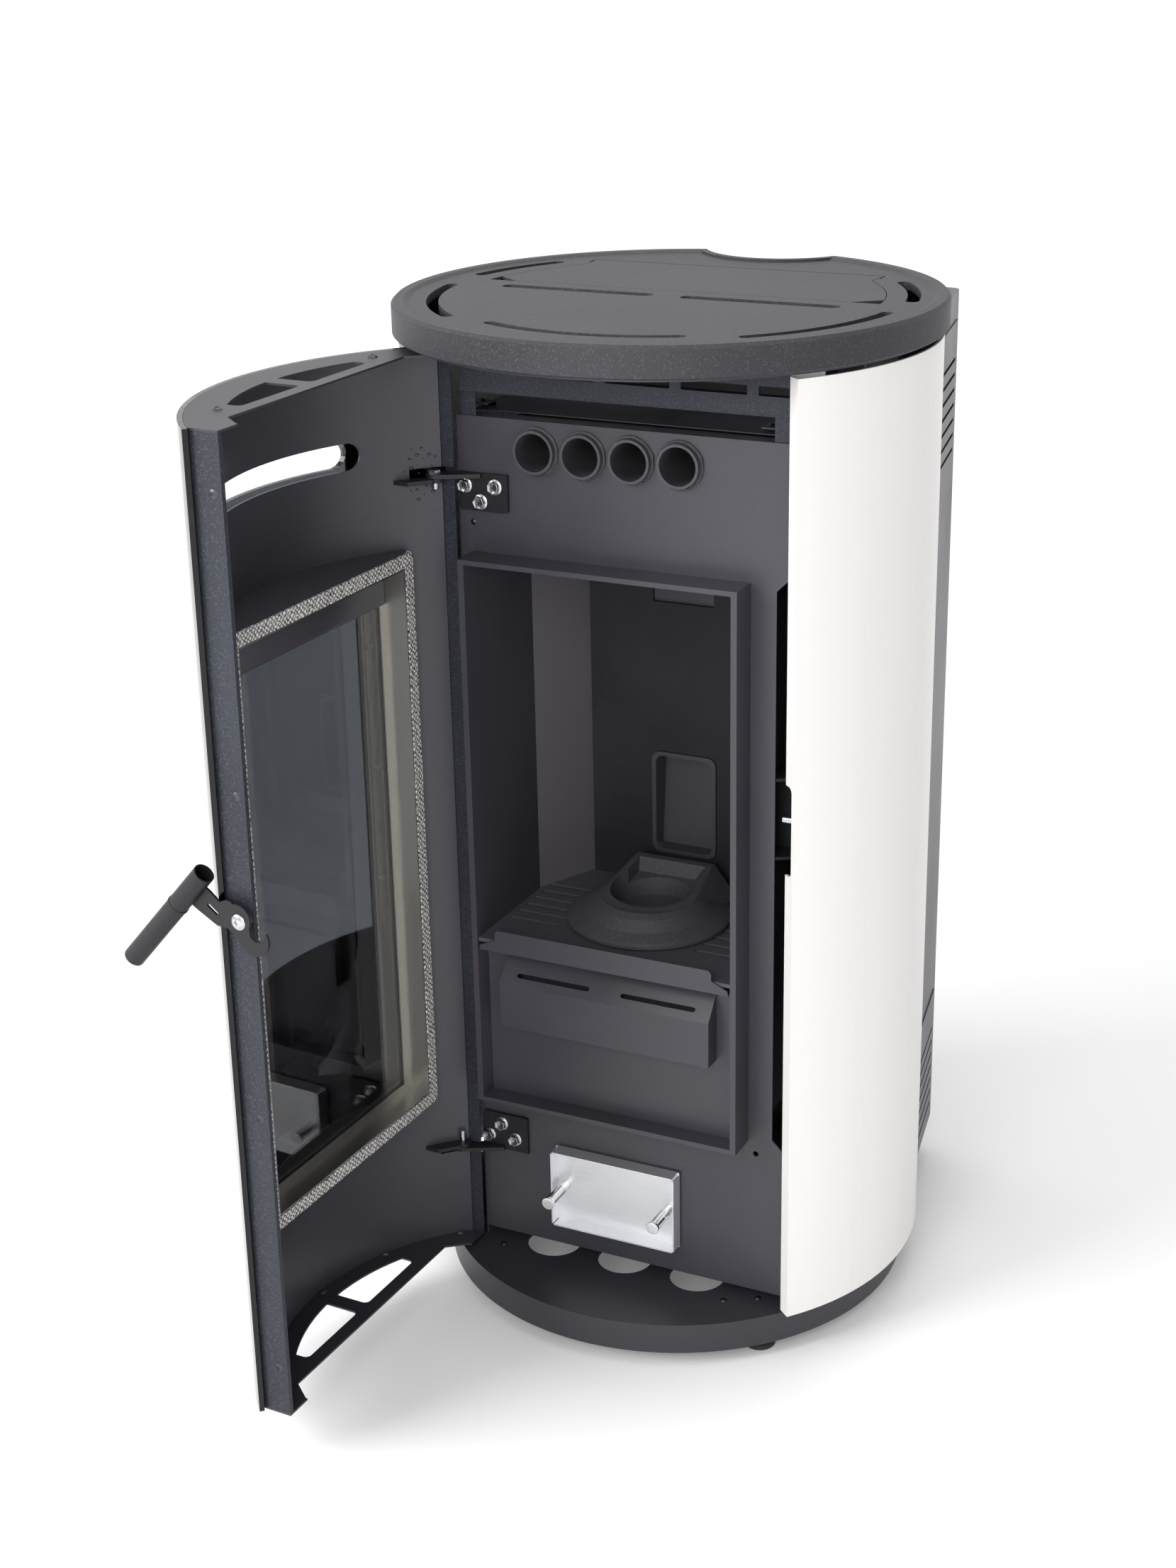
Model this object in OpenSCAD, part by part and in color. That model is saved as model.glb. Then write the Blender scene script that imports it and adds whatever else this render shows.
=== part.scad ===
// Round pellet stove with a full-height curved glass door, shown standing open.
// Millimetres, Z up, front towards -Y. The origin lies on the stove's axis at the underside of the
// base tray, and the levelling feet reach below it. The door and its latch are drawn closed and are
// then swung open about the hinge pins.

/* [Casing] */
// Outer radius of the curved side panels
body_r = 265; // [258:1:275]
// Height of the side panels
panel_h = 966; // [940:1:1000]
// Thickness of the side panels
panel_t = 2.5; // [1.5:0.5:3]
// Angle from the front to the front edge of the panel on the latch side
panel_front_az = 49.3; // [48.5:0.1:52]
// Angle from the front to the front edge of the panel on the hinge side
panel_hinge_az = 53.5; // [52:0.5:55]
// Angle from the front to the rear edge of a side panel
panel_rear_az = 121.5; // [110:0.5:122]
// Depth of a side panel's folded edge
panel_fold = 12; // [8:1:16]
// Thickness of the folded sheet parts
sheet = 2; // [1.5:0.5:3]
// Distance from the axis to the rear wall
rear_y = 313; // [300:1:330]
// Half width of the rear housing where it meets the side panels
rear_half_w = 224.6; // [220:1:226]
// Inward slope of the rear housing's sides, per millimetre
rear_taper = 0.184; // [0.1:0.01:0.25]

/* [Base] */
// Radius of the base tray
base_r = 249; // [240:1:252]
// Height of the base tray
base_h = 33; // [28:1:40]
// Gap between base tray and side panels
shadow_gap = 4.5; // [3:0.5:8]
// Radius of the cable and air holes in the tray
tray_hole_r = 29; // [20:1:34]
// Spacing of the tray holes
tray_hole_pitch = 84; // [80:1:90]
// Height of the levelling feet below the tray
foot_h = 15; // [10:1:25]
// Radius of the foot pads
foot_r = 16.5; // [12:0.5:20]

/* [Cast top] */
// Radius of the cast top
top_r = 270; // [268:1:280]
// Height of the cast top
top_h = 30.5; // [28:0.5:40]
// Gap between side panels and cast top
top_gap = 6.5; // [5:0.5:10]
// Depth of the recessed face inside the rim
top_recess = 2.5; // [1:0.5:4]
// Thickness of the cast face
top_face_t = 8; // [6:0.5:10]
// Width of the air slots
slot_w = 12; // [8:0.5:14]
// Radius of the chimney notch at the back
notch_r = 86; // [70:1:90]
// Thickness of the hopper lid
lid_t = 6; // [5:0.5:7]

/* [Firebox] */
// Half width of the firebox inside
fire_half_w = 140; // [130:1:142]
// Depth of the collar in front of the front plate
collar_d = 34; // [30:1:35]
// Underside of the collar
fire_z = 216; // [210:1:222]
// Height of the collar
fire_h = 588; // [560:1:600]
// Wall of the collar
collar_t = 5; // [4:0.5:6]
// Height of the grate above the firebox's underside
grate_rise = 183.5; // [175:0.5:190]
// Radius of the burn pot's foot
pot_r = 85.5; // [76:0.5:88]
// Radius of the burn pot's bowl
bowl_r = 44; // [36:1:46]
// Outer radius of the hot air tubes
tube_r = 21.2; // [17:0.1:22]
// Wall of the hot air tubes
tube_wall = 2.6; // [1.5:0.1:4]
// Spacing of the hot air tubes
tube_pitch = 50; // [48:1:54]
// Height of the hot air tubes
tube_z = 909; // [902:1:912]

/* [Door] */
// Angle at which the door stands open
door_open = 92; // [0:1:100]
// Thickness of the outer glass
glass_t = 5; // [4:0.5:6]
// Half width of the door between its edge strips
door_half_w = 186; // [182:1:187]
// Radius of the curved inner sheet
skin_r = 247; // [244:0.5:250]
// Half width of the rope gasket
gasket_half_w = 152; // [150:0.5:154]
// Width of the rope gasket
gasket_w = 14; // [10:1:16]
// Gap left between gasket and collar when the door is shut
gasket_gap = 0.4; // [0.3:0.1:1]
// Depth of the steel frame round the ceramic glass
frame_d = 28; // [20:1:30]
// Radius of the hinge pins
hinge_pin_r = 3.5; // [3:0.5:4]
// Radius of the latch striker
striker_r = 4; // [3:0.5:5]
// Distance from the latch pivot to the striker
latch_reach = 23; // [20:0.5:26]
// Outer radius of the handle tube
grip_r = 10; // [8:0.5:10]
// Length of the handle tube
grip_len = 133; // [100:1:150]

/* [Ash cover] */
// Half width of the ash cover
cover_half_w = 71; // [66:1:75]
// Height of the ash cover
cover_h = 88; // [80:1:95]
// Depth of the ash cover's upturned rim
cover_rim = 16.5; // [10:0.5:20]
// Distance of each knob from the middle
knob_x = 60; // [48:1:60]
// Reach of the knobs in front of the cover
knob_len = 45; // [30:1:50]

/* [Works] */
// Lean of the pellet auger from upright
auger_tilt = 35; // [33:1:38]
// Outer radius of the auger tube
auger_r = 30; // [28:0.5:31]
// Pitch of the auger's flight
flight_pitch = 42; // [30:1:60]
// Radius of the smoke outlet
flue_r = 40; // [35:1:41]
// Radius of the combustion air inlet
intake_r = 25; // [20:1:30]
// Reach of both pipes behind the rear wall
pipe_reach = 30; // [20:1:50]
// Number of blades on the smoke fan
smoke_blades = 10; // [6:1:14]
// Number of blades on the room fan
room_blades = 18; // [12:1:24]

/* [Hidden] */
$fn = 96;
fit = 0.05;
seat = 0.3;
run = 1;

panel_z0 = base_h + shadow_gap;
panel_z1 = panel_z0 + panel_h;
top_z0 = panel_z1 + top_gap;
top_z1 = top_z0 + top_h;
face_z = top_z1 - top_recess;
notch_y = top_r + 34;

// Front plate and what is set on it
plate_y = -146;
plate_back = plate_y + sheet;
plate_left = -160.6;
plate_right = 184;
plate_notch_x = 172;
plate_top = 938;
plate_lift = 9;
collar_y = plate_y - collar_d;
fire_z1 = fire_z + fire_h;
in_z0 = fire_z + collar_t;
in_z1 = fire_z1 - collar_t;
collar_half_w = fire_half_w + collar_t + 1.2;

// Firebox plan behind the plate
fire_wall = 4;
fire_back = 36;
side_end = -38;
back_half_w = 107.6;
liner_t = 3.5;
feed_half_w = 32;
feed_z0 = 443.5;
feed_h = 105;
grate_z = fire_z + grate_rise;
grate_t = 4;
apron_y = collar_y + 22;

// Hinge, latch and door
hinge_x = -175;
hinge_y = -166;
upper_hinge_z = max(879.5, fire_z1 + 42);
lower_hinge_z = 148;
lug_t = 4;
lug_gap = 0.3;
hinge_window = 10;
glass_az = 46.9;
glass_in = body_r - glass_t;
door_z0 = panel_z0;
door_z1 = panel_z1 - 1;
cap_t = 2;
skin_t = 2;
strip_t = 1.5;
strip_front = -181;
strip_back = -150;
gasket_y = collar_y - gasket_gap;
gasket_t = 3;
gasket_z0 = fire_z - 5.5;
gasket_z1 = fire_z1 + 6.2;
window_margin = 14;
pane_t = 4;
channel_t = 1.5;
latch_y = -159.5;
latch_z = 561.5;
latch_x = door_half_w + 7.8;
latch_t = 2.5;
lever_hub_r = 14.5;
pivot_r = 4;
latch_turn = 41;
latch_slot_angle = -20.4;
striker_y = latch_y + latch_reach * cos(latch_slot_angle + latch_turn);
striker_z = latch_z + latch_reach * sin(latch_slot_angle + latch_turn);
grip_x = latch_x + 4.2;
grip_top_y = -191.5;
grip_top_z = 603.7;
grip_lean = 41.4;

// Lid
lid_front = 20;
lid_back = 167;
lid_r = 208;
lid_gap = 0.8;
lid_half_w = 160;
lid_axis_y = lid_back - 3.5;
lid_axis_z = face_z - 3.5;
lid_pin_r = 2;

// Ash cover
cover_z0 = 74.5;
cover_mid_z = cover_z0 + cover_h / 2;
seal_t = 2.4;
cover_y = plate_y - seal_t - 0.1;

// Works behind the firebox
auger_y = 215;
auger_z = 390;
auger_len = 229;
hopper_half_w = 170;
hopper_front = 38;
hopper_back = 216;
hopper_knee = 800;
neck_z = 530;
hopper_top = panel_z1 - 1.3;
flue_x = -60;
flue_y = 270;
flue_z = 190;
bead_t = 4;
fan_y = 190;
fan_z = 150;
fan_r = 80;
fan_x0 = -102;
fan_x1 = -18;
intake_x = 85;
intake_z = 300;
blower_x0 = 40;
blower_x1 = 170;
blower_y = 190;
blower_z = 92;
blower_r = 48;
socket_x = 120;
socket_z = 105;

// ---------------------------------------------------------------- shared shapes

// A ring sector about the stove's axis, between two angles counted from the front, +X positive
module sector(r_in, r_out, az0, az1, z0, z1) {
  translate([0, 0, z0])
    rotate([0, 0, az0 - 90])
      rotate_extrude(angle = az1 - az0, $fn = 180)
        translate([r_in, 0])
          square([r_out - r_in, z1 - z0]);
}

// A box given by its corners
module block(x0, x1, y0, y1, z0, z1) {
  translate([x0, y0, z0])
    cube([x1 - x0, y1 - y0, z1 - z0]);
}

// A profile of (y, z) points drawn out along X
module along_x(x0, x1, points) {
  translate([x0, 0, 0])
    rotate([90, 0, 90])
      linear_extrude(x1 - x0)
        polygon(points);
}

// A rectangle of (x, z) with round corners, drawn out along Y
module rounded_y(x0, x1, z0, z1, r, y0, y1) {
  translate([0, y1, 0])
    rotate([90, 0, 0])
      linear_extrude(y1 - y0)
        rounded_rect(x0, x1, z0, z1, r);
}

module rounded_rect(x0, x1, y0, y1, r) {
  translate([x0 + r, y0])
    square([x1 - x0 - 2 * r, y1 - y0]);
  translate([x0, y0 + r])
    square([x1 - x0, y1 - y0 - 2 * r]);
  for (x = [x0 + r, x1 - r], y = [y0 + r, y1 - r])
    translate([x, y])
      circle(r, $fn = 32);
}

// A cylinder along Y from y0 to y1, and one along X from x0 to x1
module rod_y(x, z, r, y0, y1) {
  translate([x, y1, z])
    rotate([90, 0, 0])
      cylinder(h = y1 - y0, r = r);
}

module rod_x(y, z, r, x0, x1) {
  translate([x0, y, z])
    rotate([0, 90, 0])
      cylinder(h = x1 - x0, r = r);
}

// Half width of the rear housing at a depth, drawn in by a wall thickness
function rear_w(y, inset) = rear_half_w - inset * sqrt(1 + rear_taper * rear_taper)
  - rear_taper * (y - 140);

// Plan of the rear housing from a front edge to the rounded rear corners
module rear_plan(y0, inset) {
  r = 12 - inset / 2;
  slope = sqrt(1 + rear_taper * rear_taper);
  back = rear_y - inset;
  yc = back - r;
  xc = rear_w(yc, inset) - r * slope;
  polygon([
    [-rear_w(y0, inset), y0], [rear_w(y0, inset), y0],
    [xc + r / slope, yc + r * rear_taper / slope], [xc, back],
    [-xc, back], [-xc - r / slope, yc + r * rear_taper / slope]
  ]);
  for (s = [-1, 1])
    translate([s * xc, yc])
      circle(r, $fn = 48);
}

// Swings what is drawn in the closed door's place to where the open door stands
module on_door() {
  translate([hinge_x, hinge_y, 0])
    rotate([0, 0, -door_open])
      translate([-hinge_x, -hinge_y, 0])
        children();
}

// ---------------------------------------------------------------- base and casing

module base_outline(inset) {
  circle(base_r - inset, $fn = 180);
  rear_plan(141, 14 + inset);
}

module base_plate() {
  color("#3a3b3e") {
    difference() {
      linear_extrude(base_h)
        base_outline(0);
      translate([0, 0, -1])
        linear_extrude(base_h - sheet + 1)
          base_outline(sheet);
      for (i = [-1, 0, 1])
        translate([i * tray_hole_pitch, -134, 0])
          cylinder(h = base_h + 1, r = tray_hole_r);
    }
    // folded bar across the middle that stiffens the tray
    difference() {
      block(-base_r + 6, base_r - 6, -26, 26, 0, base_h - sheet);
      block(-base_r, base_r, -26 + sheet, 26 - sheet, sheet, base_h);
    }
  }
}

foot_places = [[-163, -153], [163, -153], [-150, 258], [150, 258]];

module levelling_feet() {
  color("#1d1d1f")
    for (p = foot_places)
      translate([p[0], p[1], -foot_h])
        rotate_extrude($fn = 64)
          polygon([
            [0, 0], [foot_r - 1, 0], [foot_r, 1], [foot_r, 5], [foot_r - 4, 9],
            [9, 11], [9, foot_h - 1], [5, foot_h - 1],
            [5, foot_h + base_h - sheet], [0, foot_h + base_h - sheet]
          ]);
}

post_az = [66, 118];
post_in = 226;
ring_t = 3;
ring_in = 236;

module chassis() {
  color("#2f3033")
    difference() {
      union() {
        // ring that carries the cast top
        translate([0, 0, top_z0 - ring_t])
          linear_extrude(ring_t) {
            difference() {
              circle(body_r - panel_t - seat, $fn = 180);
              circle(ring_in, $fn = 180);
            }
            // rail above the vent strip
            intersection() {
              circle(ring_in + 5, $fn = 180);
              translate([-ring_in - 5, plate_y - 1])
                square([2 * ring_in + 10, 24]);
            }
          }
        // folded uprights behind the side panels
        for (s = [-1, 1], az = post_az)
          rotate([0, 0, s * az - 90]) {
            block(post_in, body_r - panel_t - seat, -sheet / 2, sheet / 2,
               panel_z0 + 2, top_z0 - ring_t);
            block(post_in, base_r - 3, -sheet / 2, sheet / 2, base_h, panel_z0 + 2);
            block(post_in, post_in + sheet, -14, 14, base_h, top_z0 - ring_t);
          }
      }
      translate([0, notch_y, 0])
        cylinder(h = top_z1, r = notch_r + 6);
    }
  // corner posts of the rear housing
  color("#2f3033")
    for (s = [-1, 1])
      translate([s * 168, rear_y - sheet - seat - 16, base_h])
        difference() {
          translate([-8, 0, 0])
            cube([16, 16, panel_z1 - 0.5 - seat - base_h]);
          translate([-8 + sheet, -1, -1])
            cube([16 - 2 * sheet, 17 - sheet, panel_z1]);
        }
}

// Wedge that a panel fills between its front edge and its rear edge, drawn in by a wall
module panel_wedge(front_az, inset) {
  front = front_az - 90;
  rear = panel_rear_az - 90;
  x0 = body_r / 2;
  x1 = 2 * body_r;
  polygon([
    [x0, x0 * tan(front) + inset / cos(front)],
    [x1, x1 * tan(front) + inset / cos(front)],
    [x1, x1 * tan(rear) - inset / cos(rear)],
    [x0, x0 * tan(rear) - inset / cos(rear)]
  ]);
}

// One curved panel with its folded edges, on the right
module side_panel(front_az) {
  difference() {
    translate([0, 0, panel_z0])
      linear_extrude(panel_h)
        difference() {
          intersection() {
            difference() {
              circle(body_r, $fn = 180);
              circle(body_r - panel_t - panel_fold, $fn = 180);
            }
            panel_wedge(front_az, 0);
          }
          intersection() {
            circle(body_r - panel_t, $fn = 180);
            panel_wedge(front_az, panel_t);
          }
        }
  }
}

module side_panel_left() {
  color("#f6f3ee")
    mirror([1, 0, 0])
      side_panel(panel_hinge_az);
}

module side_panel_right() {
  color("#f6f3ee")
    difference() {
      side_panel(panel_front_az);
      // the fold is cut away round the striker
      rotate([0, 0, panel_front_az - 90])
        translate([0, panel_t / 2, 0])
          rounded_y(body_r - 2 * panel_fold - panel_t, body_r - panel_t - 0.5,
               striker_z - 46, striker_z + 46, 6, -panel_t, 2 * panel_t);
    }
}

louvre_slots = 7;
louvre_pitch = 16;
louvre_slot_h = 4;
louvre_y0 = 152;
louvre_y1 = 294;
louvre_t = 1.5;
louvre_levels = [[806.5, 976.5, 841.5], [37.5 + 2, 202.5, 61.5]];

// Places children on the right side wall of the rear housing: X along the wall, Z up, Y inwards
module on_rear_side() {
  translate([rear_w(141, 0), 141, 0])
    rotate([0, 0, 90 + atan(rear_taper)])
      children();
}

module louvre_panels() {
  color("#45464a")
    for (s = [0, 1])
      mirror([s, 0, 0])
        on_rear_side()
          for (level = louvre_levels)
            difference() {
              block(louvre_y0 - 141, louvre_y1 - 141, -louvre_t, 0,
                 level[0], level[1]);
              for (i = [0 : louvre_slots - 1])
                rounded_y(louvre_y0 - 130, louvre_y1 - 152,
                     level[2] + i * louvre_pitch - louvre_slot_h / 2,
                     level[2] + i * louvre_pitch + louvre_slot_h / 2,
                     louvre_slot_h / 2 - 0.1, -louvre_t - 1, 1);
            }
}

module rear_housing() {
  color("#3d3e42")
    difference() {
      union() {
        difference() {
          translate([0, 0, panel_z0])
            linear_extrude(panel_h + 1.5)
              rear_plan(141, 0);
          translate([0, 0, panel_z0 - 1])
            linear_extrude(panel_h + 4)
              rear_plan(140, sheet);
        }
        // top sheet behind the hopper
        translate([0, 0, panel_z1 - 0.5])
          linear_extrude(sheet)
            rear_plan(hopper_back + 1, 0);
      }
      // windows behind the louvres
      for (s = [0, 1])
        mirror([s, 0, 0])
          on_rear_side()
            for (level = louvre_levels)
              block(louvre_y0 - 133, louvre_y1 - 149, -2, 4,
                 level[2] - 6, level[2] + louvre_pitch * (louvre_slots - 1) + 6);
      rod_y(flue_x, flue_z, flue_r + 1, rear_y - 8, rear_y + 2);
      rod_y(intake_x, intake_z, intake_r + 1, rear_y - 8, rear_y + 2);
      rounded_y(socket_x - 14.2, socket_x + 14.2, socket_z - 24.7, socket_z + 24.7, 3,
           rear_y - 8, rear_y + 2);
    }
}

// ---------------------------------------------------------------- cast top

module arc_slot(r, az0, az1, w) {
  rotate([0, 0, az0])
    rotate_extrude(angle = az1 - az0, $fn = 180)
      translate([r - w / 2, top_z0])
        square([w, top_h + 5]);
  for (a = [az0, az1])
    translate([r * cos(a), r * sin(a), top_z0])
      cylinder(h = top_h + 5, r = w / 2, $fn = 32);
}

module straight_slot(x0, x1, y, w) {
  block(x0 + w / 2, x1 - w / 2, y - w / 2, y + w / 2, top_z0, top_z1 + 5);
  for (x = [x0 + w / 2, x1 - w / 2])
    translate([x, y, top_z0])
      cylinder(h = top_h + 5, r = w / 2, $fn = 32);
}

// Lid outline, grown by a gap; sharp front corners for the recess, cut ones for the lid
module lid_outline(gap, cut_corners) {
  r = lid_r + gap;
  a_back = asin(126 / r);
  y_front = lid_front - gap;
  y_back = lid_back + gap + (cut_corners ? 0 : 1);
  a_front = asin((cut_corners ? lid_front + 20 : y_front) / r);
  side = [for (i = [0 : 12]) let (a = a_front + (a_back - a_front) * i / 12)
    [r * cos(a), r * sin(a)]];
  right = concat(
    cut_corners ? [[178 + gap, y_front]] : [],
    side,
    [[lid_half_w - 4 + gap, 141], [lid_half_w + gap, y_back]]);
  left = [for (i = [len(right) - 1 : -1 : 0]) [-right[i][0], right[i][1]]];
  polygon(concat(right, left));
}

module top_plate() {
  color("#606166")
    difference() {
      union() {
        rotate_extrude($fn = 180)
          polygon([
            [0, face_z - top_face_t], [top_r - 8, face_z - top_face_t],
            [top_r - 8, top_z0], [top_r - 1.5, top_z0], [top_r, top_z0 + 1.5],
            [top_r, top_z1 - 3], [top_r - 3, top_z1], [top_r - 12, top_z1],
            [top_r - 17, face_z], [0, face_z]
          ]);
        // wall and raised edge of the chimney notch
        intersection() {
          translate([0, notch_y, top_z0]) {
            cylinder(h = top_h, r = notch_r + 8);
            cylinder(h = top_h - top_recess, r = notch_r + 13);
          }
          translate([0, 0, top_z0])
            cylinder(h = top_h, r = top_r - 4, $fn = 180);
        }
        // ledge that the lid rests on
        translate([0, 0, face_z - lid_t - seat - 8])
          linear_extrude(8)
            difference() {
              lid_outline(10, false);
              lid_outline(-9, false);
              translate([-lid_half_w - 20, lid_back - 14])
                square([2 * lid_half_w + 40, 40]);
            }
      }
      translate([0, notch_y, top_z0 - 1])
        cylinder(h = top_h + 2, r = notch_r);
      // recess and opening of the hopper lid
      translate([0, 0, face_z - lid_t - seat])
        linear_extrude(lid_t + 6)
          lid_outline(lid_gap, false);
      translate([0, 0, top_z0])
        linear_extrude(top_h)
          intersection() {
            lid_outline(-9, false);
            translate([-lid_half_w - 60, 0])
              square([2 * lid_half_w + 120, lid_back - 5]);
          }
      block(-lid_half_w - 1, lid_half_w + 1, lid_back - 14, lid_back + lid_gap + 1,
         top_z0, top_z1);
      for (s = [-1, 1])
        rod_x(lid_axis_y, lid_axis_z, lid_pin_r + fit, min(s * 140, s * 176),
           max(s * 140, s * 176));
      // air slots
      arc_slot(230, -49, -5.5, slot_w);
      arc_slot(230, 185.5, 229, slot_w);
      arc_slot(235, 11, 36, slot_w + 1);
      arc_slot(235, 144, 169, slot_w + 1);
      arc_slot(214, 243.5, 296.5, slot_w);
      straight_slot(-178, -15, -8, slot_w + 3);
      straight_slot(15, 178, -8, slot_w + 3);
    }
}

module lid_hinge_pins() {
  color("#b9babd")
    for (s = [0, 1])
      mirror([s, 0, 0])
        rod_x(lid_axis_y, lid_axis_z, lid_pin_r, lid_half_w - 12, lid_half_w + 14);
}

module hopper_lid() {
  color("#606166")
    difference() {
      union() {
        translate([0, 0, face_z - lid_t])
          linear_extrude(lid_t)
            lid_outline(0, true);
        // hinge bosses under the back edge
        for (s = [-1, 1])
          intersection() {
            rod_x(lid_axis_y, lid_axis_z, 4, s * (lid_half_w - 9) - 4,
               s * (lid_half_w - 9) + 4);
            block(-lid_half_w, lid_half_w, 0, lid_back + 2, top_z0, face_z);
          }
      }
      for (s = [-1, 1])
        rod_x(lid_axis_y, lid_axis_z, lid_pin_r + fit, s * (lid_half_w - 6) - 7,
           s * (lid_half_w - 6) + 7);
    }
}

vent_z0 = 961.5;
vent_slot_z = 980;
vent_slot_h = 9;
vent_slot_len = 66;
vent_pitch = 77;
vent_x0 = -155.6;

module vent_strip() {
  color("#5b6470")
    difference() {
      union() {
        block(vent_x0, plate_right, plate_y - 1, plate_y + 0.5, vent_z0, top_z0 - ring_t);
        // folded bead along the lower edge
        rod_x(plate_y + 0.5, vent_z0 + 1.5, 1.8, vent_x0, plate_right);
        // top flange under the ring
        block(vent_x0, plate_right, plate_y - 1, plate_y + 22, top_z0 - ring_t - 1.5,
           top_z0 - ring_t);
      }
      for (i = [-1 : 2])
        rounded_y(-1 + i * vent_pitch, -1 + i * vent_pitch + vent_slot_len,
             vent_slot_z, vent_slot_z + vent_slot_h, 1.5, plate_y - 4, plate_y + 4);
    }
  // legs down to the front plate
  color("#5b6470")
    for (x = [vent_x0, plate_right - 16])
      block(x, x + 16, plate_back, plate_back + 1.5, plate_top - 18, vent_z0 + 8);
}

// ---------------------------------------------------------------- firebox and front

module front_plate() {
  color("#4a4b50")
    difference() {
      union() {
        rotate([90, 0, 0])
          translate([0, 0, -plate_back])
            linear_extrude(sheet)
              polygon([
                [plate_left, base_h + plate_lift], [plate_right, base_h + plate_lift],
                [plate_right, fire_z - 6], [plate_notch_x, fire_z + 6],
                [plate_notch_x, fire_z1 - 6], [plate_right, fire_z1 + 6],
                [plate_right, plate_top], [plate_left, plate_top]
              ]);
        block(plate_left, plate_left + sheet, plate_y, plate_back + 20, base_h, plate_top);
        block(plate_left, plate_right, plate_y, plate_back + 16,
           plate_top - sheet, plate_top);
      }
      block(-fire_half_w, fire_half_w, plate_y - 5, plate_back + 0.01, in_z0, in_z1);
      block(-ash_half_w, ash_half_w, plate_y - 5, plate_back + 5,
         cover_mid_z - ash_half_h, cover_mid_z + ash_half_h);
      for (x = tube_xs)
        rod_y(x, tube_z, tube_r + seat, plate_y - 5, plate_back + 5);
      rod_y(154.5, 202.5, 3, plate_y - 5, plate_back + 5);
      // clearance for the folded vent strip's legs
      block(vent_x0 - 1, vent_x0 + 17, plate_back, plate_back + 3,
         plate_top - sheet - 1, plate_top + 1);
      block(plate_right - 17, plate_right + 1, plate_back, plate_back + 3,
         plate_top - sheet - 1, plate_top + 1);
    }
}

ash_half_w = 52;
ash_half_h = 35;
knob_rod_r = 4;
tube_xs = [for (i = [0 : 3]) (i - 1.5) * tube_pitch + 0.1];

module fire_plan(grow) {
  polygon([
    [-fire_half_w - grow, plate_back], [fire_half_w + grow, plate_back],
    [fire_half_w + grow, side_end + 0.45 * grow],
    [back_half_w + 0.6 * grow, fire_back - fire_wall + grow],
    [-back_half_w - 0.6 * grow, fire_back - fire_wall + grow],
    [-fire_half_w - grow, side_end + 0.45 * grow]
  ]);
}

module firebox_body() {
  color("#3b3c40")
    difference() {
      translate([0, 0, fire_z])
        linear_extrude(fire_h)
          fire_plan(fire_wall);
      translate([0, 0, in_z0])
        linear_extrude(in_z1 - in_z0)
          intersection() {
            fire_plan(0);
            translate([-200, plate_back - 1])
              square([400, 400]);
          }
      block(-fire_half_w, fire_half_w, plate_back - 1, plate_back + 1, in_z0, in_z1);
      rounded_y(-feed_half_w, feed_half_w, feed_z0, feed_z0 + feed_h, 8, 20, 40);
      rod_y(0, igniter_z, igniter_r + fit, 20, 40);
      rod_y(intake_x, intake_z, intake_r - 1.5, 20, 40);
      block(duct_x0 + 2, duct_x1 - 2, 20, 40, 232, 284);
      // ash falls through the floor into the ash box
      block(-60, 60, -130, -30, fire_z - 1, in_z0 + 1);
      // smoke leaves through the roof
      block(-90, 90, -100, -20, in_z1 - 1, fire_z1 + 1);
    }
}

module firebox_collar() {
  color("#4a4b50")
    difference() {
      block(-collar_half_w, collar_half_w, collar_y, plate_y, fire_z, fire_z1);
      block(-fire_half_w, fire_half_w, collar_y - 1, plate_y + 1, in_z0, in_z1);
    }
}

exchanger_z1 = plate_top - sheet - 1;

module heat_exchanger() {
  color("#3b3c40")
    difference() {
      block(-110, 110, plate_back + 0.3, 20, fire_z1, exchanger_z1);
      block(-108, 108, plate_back + 2.3, 18, fire_z1 - 1, exchanger_z1 - 2);
      for (x = tube_xs)
        rod_y(x, tube_z, tube_r + fit, plate_back - 5, 30);
    }
}

module heat_tubes() {
  color("#55565a")
    for (x = tube_xs)
      difference() {
        union() {
          rod_y(x, tube_z, tube_r, plate_y - 7.6, 24);
          // weld bead in front of the plate
          translate([x, plate_y, tube_z])
            rotate([90, 0, 0])
              rotate_extrude($fn = 64)
                polygon([[tube_r - 0.5, 0], [tube_r + 2.6, 0],
                     [tube_r, 2.4], [tube_r - 0.5, 2.4]]);
        }
        rod_y(x, tube_z, tube_r - tube_wall, plate_y - 12, 30);
      }
}

module back_liner() {
  color("#333438")
    difference() {
      block(-back_half_w + 1, back_half_w - 1, fire_back - fire_wall - liner_t,
         fire_back - fire_wall, grate_z + grate_t + seat, in_z1 - seat);
      rounded_y(-feed_half_w - 5, feed_half_w + 5, feed_z0 - 5, feed_z0 + feed_h + 5, 11,
           20, 40);
      block(-34, 34, 20, 40, in_z1 - 82, in_z1 - 66);
      rod_y(0, igniter_z, igniter_r + seat, 20, 40);
    }
}

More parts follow.
